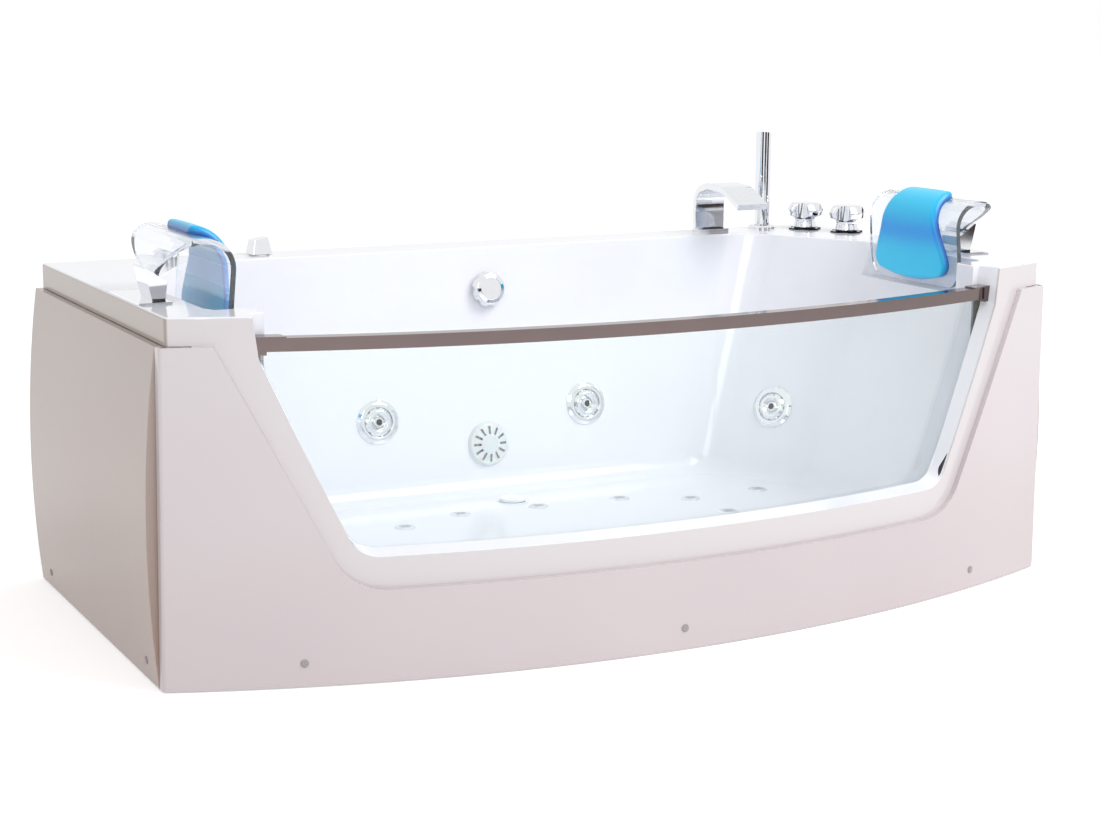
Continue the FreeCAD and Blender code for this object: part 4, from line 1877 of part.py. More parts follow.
keep("tub_shell", tub_shell())
keep("front_apron", front_apron())
keep("right_end_panel", end_panel())
keep("left_end_panel", mirrored(NODES["right_end_panel"]))
keep("cover_screws", *cover_screws())
keep("panel_brackets", *panel_brackets())
keep("glass_pane", glass_pane())
keep("glass_seal", glass_seal())
keep("top_rail", top_rail())
keep("rail_gasket", rail_gasket())
keep("rail_brackets", *pair(rail_bracket()))
keep("support_frame", support_frame())
keep("levelling_feet", *[levelling_foot(x, y) for x, y in foot_places()])
keep("foot_locknuts", *[foot_nut(x, y) for x, y in foot_places()])

for name, place in JETS.items():
    keep("jet_ring_" + name, placed(jet_ring(), place))
    keep("jet_nozzle_" + name, placed(jet_nozzle(), place))
keep("jet_bodies", *[placed(jet_body(), place) for place in JETS.values()])
keep("jet_flanges", *[placed(jet_flange(), place) for place in JETS.values()])
keep("suction_body", placed(suction_body(), SUCTION))
keep("suction_cover", placed(suction_cover(), SUCTION))
keep("overflow_body", placed(overflow_body(), OVERFLOW))
keep("overflow_knob", placed(overflow_knob(), OVERFLOW))
keep("wall_nuts", *[placed(wall_nut(BACK_SLOPE), p)
                    for p in (JETS["left"], JETS["centre"], SUCTION, OVERFLOW)],
     placed(wall_nut(SHOULDER_SLOPE), JETS["right"]), drain_nut())
keep("drain_body", placed(drain_body(), DRAIN))
keep("drain_plug", placed(drain_plug(), DRAIN))
keep("waste_trap", waste_trap())
keep("overflow_pipe", overflow_pipe())
keep("suction_pipe", suction_pipe())
keep("water_main", water_main())
keep("air_main", air_main())
keep("floor_jet_caps", *[placed(floor_jet_cap(), on_floor(p)) for p in FLOOR_JETS])
keep("floor_air_line", floor_air_hose(), *floor_cups())

keep("pump_motor", pump_motor())
keep("pump_volute", pump_volute())
keep("pump_impeller", pump_impeller())
keep("machine_plates", *machine_plates())
keep("blower_housing", blower_housing())
keep("blower_fan", blower_fan())
keep("control_box", control_box())

keep("air_valve", air_valve())
keep("air_knob", air_knob())
keep("button_housing", button_housing())
keep("power_button", power_button())
hot_valve = tap_valve().rotated(V(0, 0, 0), UP, HOT_TAIL_TURN)
keep("tap_valves", placed(hot_valve, on_deck(HOT_TAP_AT)),
     placed(tap_valve(), on_deck(COLD_TAP_AT)))
keep("tap_plates", placed(tap_plate(), on_deck(HOT_TAP_AT)),
     placed(tap_plate(), on_deck(COLD_TAP_AT)))
keep("hot_tap_handle", placed(tap_handle(), on_deck(HOT_TAP_AT)))
keep("cold_tap_handle", placed(tap_handle(), on_deck(COLD_TAP_AT)))
keep("mixer_pipes", *mixer_pipes())
keep("spout", spout())
keep("spout_shank", spout_shank())
keep("hand_shower", hand_shower())
keep("shower_socket", shower_socket())
keep("deck_nuts", *deck_nuts())

keep("headrest_bands", *pair(headrest_band()))
keep("headrest_pads", *pair(headrest_pad()))
keep("headrest_clamps", *pair(headrest_clamp()), *pair(headrest_plate()))

os.makedirs("parts", exist_ok=True)
for name, shape in NODES.items():
    shape.exportStep(os.path.join("parts", name + ".step"))
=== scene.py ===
"""Jetted bathtub with a glass front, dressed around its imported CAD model."""

import math

import bpy
from mathutils import Matrix, Vector


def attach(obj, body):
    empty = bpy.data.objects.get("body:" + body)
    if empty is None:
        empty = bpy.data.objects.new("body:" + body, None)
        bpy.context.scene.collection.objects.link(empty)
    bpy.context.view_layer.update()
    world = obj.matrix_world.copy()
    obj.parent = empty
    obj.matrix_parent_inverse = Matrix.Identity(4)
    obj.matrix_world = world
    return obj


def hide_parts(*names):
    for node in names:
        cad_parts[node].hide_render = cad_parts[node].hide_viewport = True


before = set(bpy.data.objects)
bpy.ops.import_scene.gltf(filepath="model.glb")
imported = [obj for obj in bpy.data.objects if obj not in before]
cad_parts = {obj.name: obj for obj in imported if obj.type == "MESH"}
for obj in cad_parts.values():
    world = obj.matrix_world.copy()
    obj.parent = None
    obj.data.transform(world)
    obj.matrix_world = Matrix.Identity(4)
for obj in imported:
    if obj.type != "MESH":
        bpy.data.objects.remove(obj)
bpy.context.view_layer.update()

# ---------------------------------------------------------------- camera
# Long lens a little above the deck, in front of the tub's left-hand corner. Yaw turns it from
# the tub's depth, pitch tips it down and roll leans it, all in radians.
eye = Vector((-1.83428, -3.48454, 1.10270))
yaw, pitch, roll = 0.4765, -0.1929, 0.0057
ahead = Vector((math.sin(yaw) * math.cos(pitch), math.cos(yaw) * math.cos(pitch), math.sin(pitch)))
level_right = Vector((math.cos(yaw), -math.sin(yaw), 0))
level_up = level_right.cross(ahead)
right = level_right * math.cos(roll) + level_up * math.sin(roll)
up = level_up * math.cos(roll) - level_right * math.sin(roll)
camera = bpy.data.objects.new("camera", bpy.data.cameras.new("camera"))
camera.data.lens = 69.67
camera.data.sensor_width = 36.0
camera.matrix_world = Matrix.Translation(eye) @ Matrix((right, up, -ahead)).transposed().to_4x4()
bpy.context.scene.collection.objects.link(camera)
bpy.context.scene.camera = camera


# ---------------------------------------------------------------- bath shell
# One sheet of white sanitary acrylic, drawn over a mould and stiffened behind with glass fibre in
# resin. The wet side is glossy with a faint ripple, the back is matt, cream and full of strands,
# and the turned-down edge outside is lacquered in the colour of the panels.
def linear(code):
    """The linear colour of an sRGB hex code."""
    shares = [int(code[i:i + 2], 16) / 255 for i in (1, 3, 5)]
    return [c / 12.92 if c <= 0.04045 else ((c + 0.055) / 1.055) ** 2.4 for c in shares] + [1.0]


def add(owner, kind, settings, links=None):
    """Adds one shader node with its settings, fed by the outputs in links."""
    node = owner.node_tree.nodes.new("ShaderNode" + kind)
    for name, value in settings.items():
        if isinstance(name, int) or name in node.inputs:
            node.inputs[name].default_value = value
        else:
            setattr(node, name, value)
    for name, output in (links or {}).items():
        owner.node_tree.links.new(output, node.inputs[name])
    return node


def new_finish(name, settings):
    """A material with the shader's constants set on its own sockets."""
    finish = bpy.data.materials.new(name)
    finish.use_nodes = True
    shader = finish.node_tree.nodes["Principled BSDF"]
    for socket, value in settings.items():
        shader.inputs[socket].default_value = value
    return finish


def feed(finish, socket, output):
    finish.node_tree.links.new(output, finish.node_tree.nodes["Principled BSDF"].inputs[socket])


def grain(finish, cell, gloss, relief):
    """Noise with cells of that size in metres varies roughness and height."""
    place = add(finish, "TexCoord", {})
    noise = add(finish, "TexNoise", {"Scale": 1 / cell, "Detail": 3.0},
                {"Vector": place.outputs["Object"]})
    rough = add(finish, "MapRange", {"To Min": gloss[0], "To Max": gloss[1]},
                {"Value": noise.outputs["Fac"]})
    bump = add(finish, "Bump", {"Distance": relief}, {"Height": noise.outputs["Fac"]})
    feed(finish, "Roughness", rough.outputs["Result"])
    feed(finish, "Normal", bump.outputs["Normal"])
    return noise, rough


def mottle(finish, cell, colours, gloss, relief):
    """The same noise also varies the colour, between two hex codes."""
    noise, rough = grain(finish, cell, gloss, relief)
    tint = add(finish, "MixRGB", {"Color1": linear(colours[0]), "Color2": linear(colours[1])},
               {"Fac": noise.outputs["Fac"]})
    feed(finish, "Base Color", tint.outputs["Color"])
    return tint, rough


def dress(finish, *nodes):
    for name in nodes:
        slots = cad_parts[name].data.materials
        slots.clear()
        slots.append(finish)


# The shell's outer faces in metres: its ends, its back, and its front, which is an arc. The
# turned-down border reaches inward by its depth, and the mouth lies in front of mouth_y. Each
# blend is the width over which one finish passes into the next.
end_face, back_face = 0.8625, 0.4675
bow_centre_y, bow_radius = 1.9215, 2.3765
edge_blend = 0.002
border_depth, border_blend = 0.0055, 0.001
mouth_y, mouth_blend = -0.22, 0.01

acrylic = new_finish("sanitary_acrylic", {"IOR": 1.49, "Coat Weight": 0.25, "Coat Roughness": 0.05})
tint, rough = mottle(acrylic, cell=0.030, colours=("#f3f4fb", "#f6f7fd"), gloss=(0.08, 0.14),
                     relief=0.00006)
place = add(acrylic, "TexCoord", {})
spot = add(acrylic, "SeparateXYZ", {}, {"Vector": place.outputs["Object"]})
facing = add(acrylic, "SeparateXYZ", {}, {"Vector": place.outputs["Normal"]})
side = add(acrylic, "Math", {"operation": "ABSOLUTE"}, {0: spot.outputs["X"]})
bow_y = add(acrylic, "Math", {"operation": "SUBTRACT", 1: bow_centre_y}, {0: spot.outputs["Y"]})
flat = add(acrylic, "CombineXYZ", {}, {"X": spot.outputs["X"], "Y": bow_y.outputs["Value"]})
reach = add(acrylic, "VectorMath", {"operation": "LENGTH"}, {0: flat.outputs["Vector"]})

# Lacquer covers what is outermost and doesn't face up.
at_end = add(acrylic, "MapRange", {"From Min": end_face - edge_blend, "From Max": end_face},
             {"Value": side.outputs["Value"]})
at_front = add(acrylic, "MapRange", {"From Min": bow_radius - edge_blend, "From Max": bow_radius},
               {"Value": reach.outputs["Value"]})
at_back = add(acrylic, "MapRange", {"From Min": back_face - edge_blend, "From Max": back_face},
              {"Value": spot.outputs["Y"]})
outer = add(acrylic, "Math", {"operation": "MAXIMUM"},
            {0: at_end.outputs["Result"], 1: at_front.outputs["Result"]})
outer = add(acrylic, "Math", {"operation": "MAXIMUM"},
            {0: outer.outputs["Value"], 1: at_back.outputs["Result"]})
upright = add(acrylic, "MapRange", {"From Min": 0.75, "From Max": 0.35},
              {"Value": facing.outputs["Z"]})
edge_mask = add(acrylic, "Math", {"operation": "MULTIPLY"},
                {0: outer.outputs["Value"], 1: upright.outputs["Result"]})
# At the ends the border is darker and warmer, as on the end panels: painted shade and a painted
# warm reflection.
lacquer_and_end_shade = add(acrylic, "MixRGB", {"Color1": linear("#dad4d6"), "Color2": linear("#b3a59c")},
              {"Fac": at_end.outputs["Result"]})

# Resin covers what faces outward or down, inside the turned-down border and behind the mouth.
outward = add(acrylic, "VectorMath", {"operation": "MULTIPLY", 1: (1.0, 1.0, 0.0)},
              {0: place.outputs["Object"]})
outward = add(acrylic, "VectorMath", {"operation": "DOT_PRODUCT"},
              {0: outward.outputs["Vector"], 1: place.outputs["Normal"]})
behind = add(acrylic, "MapRange", {"From Min": 0.06, "From Max": 0.10},
             {"Value": outward.outputs["Value"]})
steep = add(acrylic, "MapRange", {"From Min": 0.5, "From Max": 0.3}, {"Value": facing.outputs["Z"]})
behind = add(acrylic, "Math", {"operation": "MULTIPLY"},
             {0: behind.outputs["Result"], 1: steep.outputs["Result"]})
below = add(acrylic, "MapRange", {"From Min": -0.15, "From Max": -0.3},
            {"Value": facing.outputs["Z"]})
rear = add(acrylic, "Math", {"operation": "MAXIMUM"},
           {0: behind.outputs["Value"], 1: below.outputs["Result"]})
near_end = add(acrylic, "MapRange", {"From Min": end_face - border_depth,
                                     "From Max": end_face - border_depth + border_blend},
               {"Value": side.outputs["Value"]})
near_front = add(acrylic, "MapRange", {"From Min": bow_radius - border_depth,
                                       "From Max": bow_radius - border_depth + border_blend},
                 {"Value": reach.outputs["Value"]})
border = add(acrylic, "Math", {"operation": "MAXIMUM"},
             {0: near_end.outputs["Result"], 1: near_front.outputs["Result"]})
inner = add(acrylic, "Math", {"operation": "SUBTRACT", 0: 1.0}, {1: border.outputs["Value"]})
rear = add(acrylic, "Math", {"operation": "MULTIPLY"},
           {0: rear.outputs["Value"], 1: inner.outputs["Value"]})
off_mouth = add(acrylic, "MapRange", {"From Min": mouth_y, "From Max": mouth_y + mouth_blend},
                {"Value": spot.outputs["Y"]})
rear = add(acrylic, "Math", {"operation": "MULTIPLY"},
           {0: rear.outputs["Value"], 1: off_mouth.outputs["Result"]})
strands = add(acrylic, "TexVoronoi", {"feature": "DISTANCE_TO_EDGE", "Scale": 1 / 0.018},
              {"Vector": place.outputs["Object"]})
strand = add(acrylic, "MapRange", {"From Max": 0.12}, {"Value": strands.outputs["Distance"]})
resin = add(acrylic, "MixRGB", {"Color1": linear("#e9e4d2"), "Color2": linear("#d3ccb2")},
            {"Fac": strand.outputs["Result"]})

backed = add(acrylic, "MixRGB", {}, {"Fac": rear.outputs["Value"], "Color1": tint.outputs["Color"],
                                     "Color2": resin.outputs["Color"]})
whole = add(acrylic, "MixRGB", {}, {"Fac": edge_mask.outputs["Value"],
                                    "Color1": backed.outputs["Color"],
                                    "Color2": lacquer_and_end_shade.outputs["Color"]})
matt = add(acrylic, "Math", {"operation": "MULTIPLY_ADD", 1: 0.45},
           {0: rear.outputs["Value"], 2: rough.outputs["Result"]})
feed(acrylic, "Base Color", whole.outputs["Color"])
feed(acrylic, "Roughness", matt.outputs["Value"])
dress(acrylic, "tub_shell")

# ---------------------------------------------------------------- panels
# The bowed apron and the two end panels are drawn from thin acrylic sheet and lacquered in a warm
# pearl grey. They clip under the deck edge and are screwed to the frame at the foot. The colour is
# darker towards the foot, a painted warm reflection, and darker and warmer on the ends than on the
# front, painted shade and a painted warm reflection.
for name, top, foot, nodes in (
        ("pearl_lacquered_acrylic", "#ddd7d9", "#d3c9cb", ["front_apron"]),
        ("taupe_lacquered_acrylic_painted_shade", "#b5a69d", "#a3897d", ["left_end_panel", "right_end_panel"])):
    lacquered = new_finish(name, {"IOR": 1.49, "Coat Weight": 0.3, "Coat Roughness": 0.08})
    grain(lacquered, cell=0.014, gloss=(0.20, 0.28), relief=0.00005)
    place = add(lacquered, "TexCoord", {})
    height = add(lacquered, "SeparateXYZ", {}, {"Vector": place.outputs["Object"]})
    # Darker and warmer towards the foot: a painted warm reflection, blended in by height.
    rise = add(lacquered, "MapRange", {"From Min": 0.02, "From Max": 0.50},
               {"Value": height.outputs["Z"]})
    foot_reflection_fade = add(lacquered, "MixRGB", {"Color1": linear(foot), "Color2": linear(top)},
               {"Fac": rise.outputs["Result"]})
    cloud = add(lacquered, "TexNoise", {"Scale": 1 / 0.35, "Detail": 1.0},
                {"Vector": place.outputs["Object"]})
    veil = add(lacquered, "MixRGB", {"blend_type": "MULTIPLY", "Color2": linear("#f2eef0")},
               {"Fac": cloud.outputs["Fac"], "Color1": foot_reflection_fade.outputs["Color"]})
    feed(lacquered, "Base Color", veil.outputs["Color"])
    dress(lacquered, *nodes)

# Cover caps over the panel screws: small domed ABS caps in mid grey, pressed over the heads.
cap_abs = new_finish("grey_abs_caps", {"IOR": 1.53})
mottle(cap_abs, cell=0.002, colours=("#9a9497", "#a29c9f"), gloss=(0.30, 0.42), relief=0.00003)
dress(cap_abs, "cover_screws")

# ---------------------------------------------------------------- frame and feet
# Square steel tube, welded and powder coated in light grey, carries the shell. The coating has
# the fine orange peel of baked powder.
powder = new_finish("powder_coated_steel", {"IOR": 1.5})
mottle(powder, cell=0.0018, colours=("#c9cbcd", "#cfd1d3"), gloss=(0.34, 0.46), relief=0.00008)
dress(powder, "support_frame")

# Folded brackets, machine plates, feet and locknuts are zinc-plated steel, bright with a
# cloudy spangle.
zinc = new_finish("zinc_plated_steel", {"Metallic": 1.0})
mottle(zinc, cell=0.006, colours=("#b9bcbd", "#d2d4d3"), gloss=(0.26, 0.42), relief=0.00003)
dress(zinc, "panel_brackets", "machine_plates", "levelling_feet", "foot_locknuts")

# ---------------------------------------------------------------- glass front
# A curved pane of toughened glass stands in the window. It is bedded in milky silicone, which
# is soft and matt beside it.
glass = new_finish("toughened_glass", {"Base Color": linear("#f6fbfa"), "IOR": 1.52,
                                       "Transmission Weight": 1.0, "Roughness": 0.0})
dress(glass, "glass_pane")

silicone = new_finish("silicone_sealant", {"IOR": 1.41, "Subsurface Weight": 0.15,
                                           "Subsurface Scale": 0.003})
mottle(silicone, cell=0.009, colours=("#e9eeee", "#f1f4f4"), gloss=(0.35, 0.5), relief=0.0002)
dress(silicone, "glass_seal")

# ---------------------------------------------------------------- top rail
# A channel of stainless sheet, rolled to the curve of the glass and mirror polished along its
# length, so that the light is drawn out in fine streaks. A rubber strip fills it over the glass.
streak_length, streak_width = 1 / 1.5, 1 / 1500.0
stainless = new_finish("polished_stainless_steel_dark_reflection", {"Metallic": 1.0})
# The dark taupe base colour is a painted reflection of dark brown surroundings.
mottle(stainless, cell=0.05, colours=("#6f6362", "#7a6d6b"), gloss=(0.08, 0.16), relief=0.0)
place = add(stainless, "TexCoord", {})
drawn_out = add(stainless, "Mapping",
                {"Scale": (1 / streak_length, 1 / streak_width, 1 / streak_width)},
                {"Vector": place.outputs["Object"]})
lines = add(stainless, "TexNoise", {"Scale": 1.0, "Detail": 2.0},
            {"Vector": drawn_out.outputs["Vector"]})
streaks = add(stainless, "Bump", {"Distance": 0.00001}, {"Height": lines.outputs["Fac"]})
feed(stainless, "Normal", streaks.outputs["Normal"])
dress(stainless, "top_rail", "rail_brackets")

rubber = new_finish("black_rubber", {"IOR": 1.52})
mottle(rubber, cell=0.001, colours=("#18181a", "#222224"), gloss=(0.55, 0.75), relief=0.00005)
dress(rubber, "rail_gasket")

# ---------------------------------------------------------------- chrome fittings
# Jet flanges, rings, balls, knobs, taps and the spout are cast or moulded, then bright
# chromium plated: a cold white mirror with almost no roughness. The tap plates are plated black.
chrome = new_finish("bright_chromium_plate", {"Metallic": 1.0})
mottle(chrome, cell=0.012, colours=("#e4e6ea", "#eceef1"), gloss=(0.03, 0.07), relief=0.0)
dress(chrome, "jet_flanges", "jet_ring_left", "jet_ring_centre", "jet_ring_right",
      "jet_nozzle_left", "jet_nozzle_centre", "jet_nozzle_right", "overflow_knob",
      "drain_plug", "drain_body", "air_knob", "button_housing", "power_button",
      "hot_tap_handle", "cold_tap_handle", "spout", "hand_shower", "shower_socket",
      "headrest_clamps", "floor_jet_caps")

dark_plate = new_finish("black_chromium_plate", {"Metallic": 1.0})
mottle(dark_plate, cell=0.01, colours=("#26262a", "#303035"), gloss=(0.12, 0.2), relief=0.0)
dress(dark_plate, "tap_plates")

# ---------------------------------------------------------------- moulded bodies behind the wall
# Jet bodies, nuts, the air valve and the suction housing are injection moulded in white ABS,
# with the soft sheen of a polished mould.
abs_white = new_finish("white_abs", {"IOR": 1.53})
mottle(abs_white, cell=0.02, colours=("#eeeeec", "#f4f4f2"), gloss=(0.25, 0.36), relief=0.00004)
dress(abs_white, "jet_bodies", "wall_nuts", "suction_body", "overflow_body", "deck_nuts",
      "air_valve")

# The suction cover is moulded in translucent white, so its windows glow a little.
milky = new_finish("translucent_white_abs", {"IOR": 1.53, "Subsurface Weight": 0.35,
                                             "Subsurface Scale": 0.006})
mottle(milky, cell=0.02, colours=("#e4e8ea", "#edf0f2"), gloss=(0.2, 0.3), relief=0.00003)
dress(milky, "suction_cover")

# ---------------------------------------------------------------- pipes
# Water pipes and the trap are extruded PVC with solvent-welded sockets. Air lines are clear
# flexible PVC hose, slightly milky.
pvc = new_finish("extruded_pvc", {"IOR": 1.54})
mottle(pvc, cell=0.04, colours=("#dfe0dc", "#e8e8e4"), gloss=(0.28, 0.42), relief=0.00006)
dress(pvc, "waste_trap", "overflow_pipe", "suction_pipe", "water_main")

clear_hose = new_finish("clear_pvc_hose", {"IOR": 1.54, "Transmission Weight": 0.55})
mottle(clear_hose, cell=0.02, colours=("#dfe8ea", "#e9f0f1"), gloss=(0.18, 0.3), relief=0.00005)
dress(clear_hose, "air_main", "floor_air_line")

# ---------------------------------------------------------------- pump and blower
# The motor is an aluminium casting painted grey, the volute, the blower and the control box are
# black glass-filled nylon, and the impellers are moulded white.
cast = new_finish("painted_aluminium_casting", {"IOR": 1.5})
mottle(cast, cell=0.003, colours=("#6d7178", "#7b7f86"), gloss=(0.4, 0.6), relief=0.0002)
dress(cast, "pump_motor")
nylon = new_finish("black_filled_nylon", {"IOR": 1.53})
mottle(nylon, cell=0.004, colours=("#1d1d20", "#29292c"), gloss=(0.38, 0.55), relief=0.0001)
dress(nylon, "pump_volute", "blower_housing", "control_box")
dress(abs_white, "pump_impeller", "blower_fan")

# ---------------------------------------------------------------- brass
# Tap valves, mixer pipes and the spout's shank are turned and drawn brass, left bare under the
# deck and a little dulled.
brass = new_finish("turned_brass", {"Metallic": 1.0})
mottle(brass, cell=0.008, colours=("#c4a35a", "#d0b06a"), gloss=(0.22, 0.36), relief=0.00003)
dress(brass, "tap_valves", "mixer_pipes", "spout_shank")

# ---------------------------------------------------------------- headrests
# Each headrest is a band of thick clear acrylic, bent hot to an arch and cut narrow to the tail
# in the clamp. Its saw-cut edges are flame polished and catch the light.
clear = new_finish("clear_cast_acrylic", {"Base Color": linear("#f8fbff"), "IOR": 1.33,
                                          "Transmission Weight": 0.94, "Roughness": 0.02})
dress(clear, "headrest_bands")

# The pad is moulded in soft blue gel polyurethane over the arch. It is crowned and drawn in towards
# its end. The blue is deepest at the rounded rim, and a darker band over the bend is a painted
# reflection.
gel = new_finish("gel_polyurethane", {"IOR": 1.5, "Subsurface Weight": 0.12,
                                      "Subsurface Scale": 0.004, "Coat Weight": 0.2,
                                      "Coat Roughness": 0.2})
grain(gel, cell=0.0016, gloss=(0.24, 0.34), relief=0.00003)
rim = add(gel, "Attribute", {"attribute_name": "rim"})
# Painted reflection: a darker blue band over the bend.
bend_reflection = add(gel, "Attribute", {"attribute_name": "bend_reflection"})
skin = add(gel, "MixRGB", {"Color1": linear("#14d0ff"), "Color2": linear("#10a2f6")},
           {"Fac": bend_reflection.outputs["Fac"]})
deep = add(gel, "MixRGB", {"Color2": linear("#0a55c0")},
           {"Fac": rim.outputs["Fac"], "Color1": skin.outputs["Color"]})
feed(gel, "Base Color", deep.outputs["Color"])

# Outside of the arch, as x and z of the right-hand one: its low edge, the corner that the bend
# rounds off, and the end of the pad on top.
low, crest, end_x = Vector((0.732, 0.550)), Vector((0.717, 0.720)), Vector((0.774, 0.720))
turn_radius = 0.0503
headrest_y = -0.084
toward_low = (low - crest).normalized()
toward_end = (end_x - crest).normalized()
half_turn = toward_low.angle(toward_end) / 2
tangent = turn_radius / math.tan(half_turn)
leg = (low - crest).length - tangent
arc = turn_radius * (math.pi - 2 * half_turn)
top = (end_x - crest).length - tangent
centre = crest + (toward_low + toward_end).normalized() * (turn_radius / math.sin(half_turn))


def along_band(s):
    """Place and outward normal on the outside of the arch, s metres from its low edge."""
    outward_leg = Vector((-toward_low.y, toward_low.x))
    outward_leg *= math.copysign(1, outward_leg.dot(crest - centre))
    if s < leg:
        return low - toward_low * s, outward_leg
    if s < leg + arc:
        angle = math.atan2(outward_leg.y, outward_leg.x) - (s - leg) / turn_radius
        normal = Vector((math.cos(angle), math.sin(angle)))
        return centre + normal * turn_radius, normal
    return crest + toward_end * (tangent + s - leg - arc), Vector((0, 1))


# Half widths of the pad at even steps from its low edge to its end, corners not yet rounded.
half_widths = [0.116, 0.116, 0.1155, 0.111, 0.1055, 0.0985, 0.092, 0.087, 0.082, 0.0775, 0.0735,
               0.070, 0.066]
pad_start, pad_thick, pad_round = 0.008, 0.0145, 0.010
low_corner, end_corner = 0.034, 0.014
low_edge_bow = 0.012
under_gap = 0.0004
crown_fall, crown_reach = 0.16, 0.1
rim_ease = 0.7
# Middle and spread, as shares of the pad's length, of the painted reflection over the bend.
bend_reflection_middle, bend_reflection_spread = 0.50, 0.13
rows, columns = 56, 40
row_ease, column_ease = 0.75, 0.8


def half_width(p):
    """Half width of the pad at share p of its length, before its corners are rounded."""
    spot = min(p * (len(half_widths) - 1), len(half_widths) - 1.001)
    step = int(spot)
    return half_widths[step] + (spot - step) * (half_widths[step + 1] - half_widths[step])


def eased(count, ease):
    """Shares from 0 to 1, closer together at both ends the more ease there is."""
    steps = [i / count for i in range(count + 1)]
    return [t * (1 - ease) + ease * (0.5 - 0.5 * math.cos(math.pi * t)) for t in steps]


def pad_mesh(name, hand):
    """Crowned pad on the arch; hand is 1 for the right headrest and -1 for the left."""
    length = leg + arc + top - pad_start
    upper, under, rims, bend_reflections = [], [], [], []
    for p in eased(rows, row_ease):
        half = half_width(p)
        for from_end, corner in ((p * length, low_corner), ((1 - p) * length, end_corner)):
            if from_end < corner:
                half -= corner - math.sqrt(corner ** 2 - (corner - from_end) ** 2)
        for q in eased(columns, column_ease):
            across = 2 * q - 1
            y = across * half
            foot, normal = along_band(pad_start + p * length
                                      + low_edge_bow * across ** 2 * (1 - p) ** 3)
            inside = min(half - abs(y), p * length, (1 - p) * length)
            fall = math.sqrt(max(0.0, 1 - (1 - min(1.0, inside / pad_round)) ** 2))
            crown = 1 - crown_fall * (y / crown_reach) ** 2
            base = foot + normal * under_gap
            skin_point = foot + normal * (under_gap + pad_thick * crown * fall)
            upper.append((hand * skin_point.x, headrest_y + y, skin_point.y))
            under.append((hand * base.x, headrest_y + y, base.y))
            rims.append((1 - fall) ** rim_ease)
            # Weight of the painted reflection band over the bend.
            bend_reflections.append(math.exp(-((p - bend_reflection_middle) / bend_reflection_spread) ** 2))
    count = len(upper)
    wide = columns + 1
    faces = []
    for i in range(rows):
        for j in range(columns):
            a = i * wide + j
            faces.append((a, a + 1, a + wide + 1, a + wide))
            faces.append((count + a, count + a + wide, count + a + wide + 1, count + a + 1))
    ring = list(range(columns + 1))
    ring += [i * wide + columns for i in range(1, rows + 1)]
    ring += [rows * wide + j for j in range(columns - 1, -1, -1)]
    ring += [i * wide for i in range(rows - 1, 0, -1)]
    for a, b in zip(ring, ring[1:] + ring[:1]):
        faces.append((a, count + a, count + b, b))
    mesh = bpy.data.meshes.new(name)
    mesh.from_pydata(upper + under, [], faces)
    for label, values in (("rim", rims), ("bend_reflection", bend_reflections)):
        layer = mesh.attributes.new(label, "FLOAT", "POINT")
        layer.data.foreach_set("value", values + values)
    mesh.polygons.foreach_set("use_smooth", [True] * len(mesh.polygons))
    mesh.validate()
    return mesh


for name, hand in (("headrest_pad_right", 1), ("headrest_pad_left", -1)):
    pad = bpy.data.objects.new(name, pad_mesh(name, hand))
    bpy.context.scene.collection.objects.link(pad)
    weld = pad.modifiers.new("weld", "WELD")
    weld.merge_threshold = 0.00005
    pad.data.materials.append(gel)
    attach(pad, "tub")
    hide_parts("headrest_pads")


# ---------------------------------------------------------------- studio
# A plain pale floor under a soft box, a fill light and an even white surround. The camera, the
# metal and the glass see the surround as white.
def seen_straight(owner):
    """1 on rays from the camera, a mirror or a pane, and 0 on the others."""
    rays = add(owner, "LightPath", {})
    seen = add(owner, "Math", {"operation": "MAXIMUM"},
               {0: rays.outputs["Is Camera Ray"], 1: rays.outputs["Is Glossy Ray"]})
    seen = add(owner, "Math", {"operation": "MAXIMUM"},
               {0: seen.outputs["Value"], 1: rays.outputs["Is Transmission Ray"]})
    return seen.outputs["Value"]


bpy.context.scene.view_settings.view_transform = "Standard"
world = bpy.data.worlds.new("studio_surround")
world.use_nodes = True
bpy.context.scene.world = world
background = world.node_tree.nodes["Background"]
background.inputs["Color"].default_value = (1.0, 1.0, 1.0, 1.0)
level = add(world, "MapRange", {"To Min": 0.62, "To Max": 1.0}, {"Value": seen_straight(world)})
world.node_tree.links.new(level.outputs["Result"], background.inputs["Strength"])

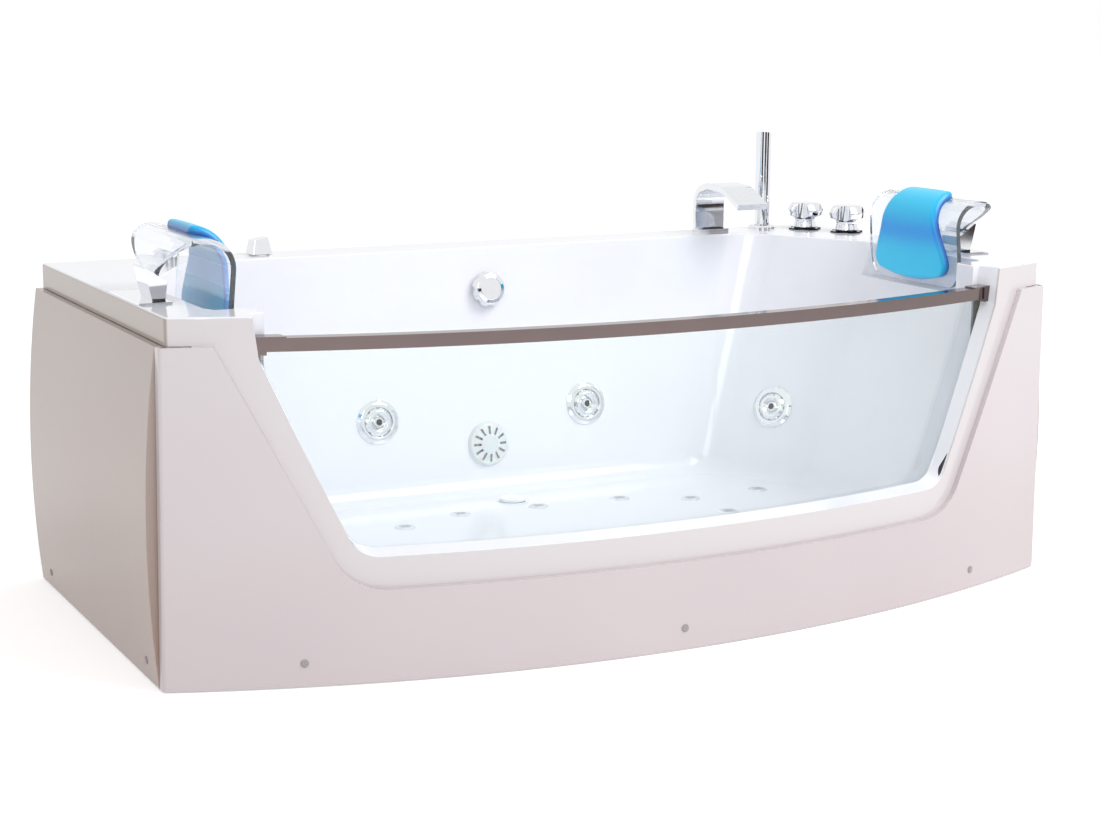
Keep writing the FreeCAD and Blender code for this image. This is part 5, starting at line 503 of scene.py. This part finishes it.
floor_mesh = bpy.data.meshes.new("studio_floor")
floor_reach = 30.0
floor_mesh.from_pydata([(-floor_reach, -floor_reach, 0), (floor_reach, -floor_reach, 0),
                        (floor_reach, floor_reach, 0), (-floor_reach, floor_reach, 0)],
                       [], [(0, 1, 2, 3)])
floor = bpy.data.objects.new("studio_floor", floor_mesh)
bpy.context.scene.collection.objects.link(floor)
paper = new_finish("matt_white_paper", {"Base Color": linear("#fbfbfb"), "Roughness": 0.9,
                                        "Specular IOR Level": 0.1,
                                        "Emission Color": (1.0, 1.0, 1.0, 1.0)})
glow = add(paper, "Math", {"operation": "MULTIPLY", 1: 0.45}, {0: seen_straight(paper)})
feed(paper, "Emission Strength", glow.outputs["Value"])
floor_mesh.materials.append(paper)

aim = Vector((0.0, 0.0, 0.3))
for name, stand, size, power in (("soft_box", Vector((1.8, -2.2, 3.6)), 2.4, 95.0),
                                 ("fill_light", Vector((-2.2, -3.6, 2.2)), 1.6, 26.0)):
    lamp = bpy.data.lights.new(name, "AREA")
    lamp.size = size
    lamp.energy = power
    lamp_object = bpy.data.objects.new(name, lamp)
    lamp_object.location = stand
    lamp_object.rotation_mode = "QUATERNION"
    lamp_object.rotation_quaternion = (aim - stand).to_track_quat("-Z", "Y")
    bpy.context.scene.collection.objects.link(lamp_object)

# Black felt flags stand off beside the camera. Only polished surfaces see them, and they give
# the chrome and the steel rail their dark bands.
felt = new_finish("black_felt_flag", {"Base Color": linear("#4a4042"), "Roughness": 1.0,
                                      "Specular IOR Level": 0.0})
for name, middle, half_wide, half_tall, normal in (
        ("flag_left", Vector((-4.6, -5.2, 1.2)), 1.5, 1.4, Vector((0.75, 0.66, 0.0))),
        ("flag_right", Vector((4.4, -4.6, 1.0)), 1.5, 1.2, Vector((-0.7, 0.7, 0.0))),
        ("flag_front", Vector((0.6, -6.5, 0.9)), 1.6, 0.8, Vector((0.0, 1.0, 0.0)))):
    wide = Vector((0, 0, 1)).cross(normal.normalized()) * half_wide
    tall = Vector((0, 0, half_tall))
    flag_mesh = bpy.data.meshes.new(name)
    flag_mesh.from_pydata([middle - wide - tall, middle + wide - tall,
                           middle + wide + tall, middle - wide + tall], [], [(0, 1, 2, 3)])
    flag_mesh.materials.append(felt)
    flag = bpy.data.objects.new(name, flag_mesh)
    bpy.context.scene.collection.objects.link(flag)
    flag.visible_camera = False
    flag.visible_diffuse = False
    flag.visible_shadow = False
    flag.visible_transmission = False
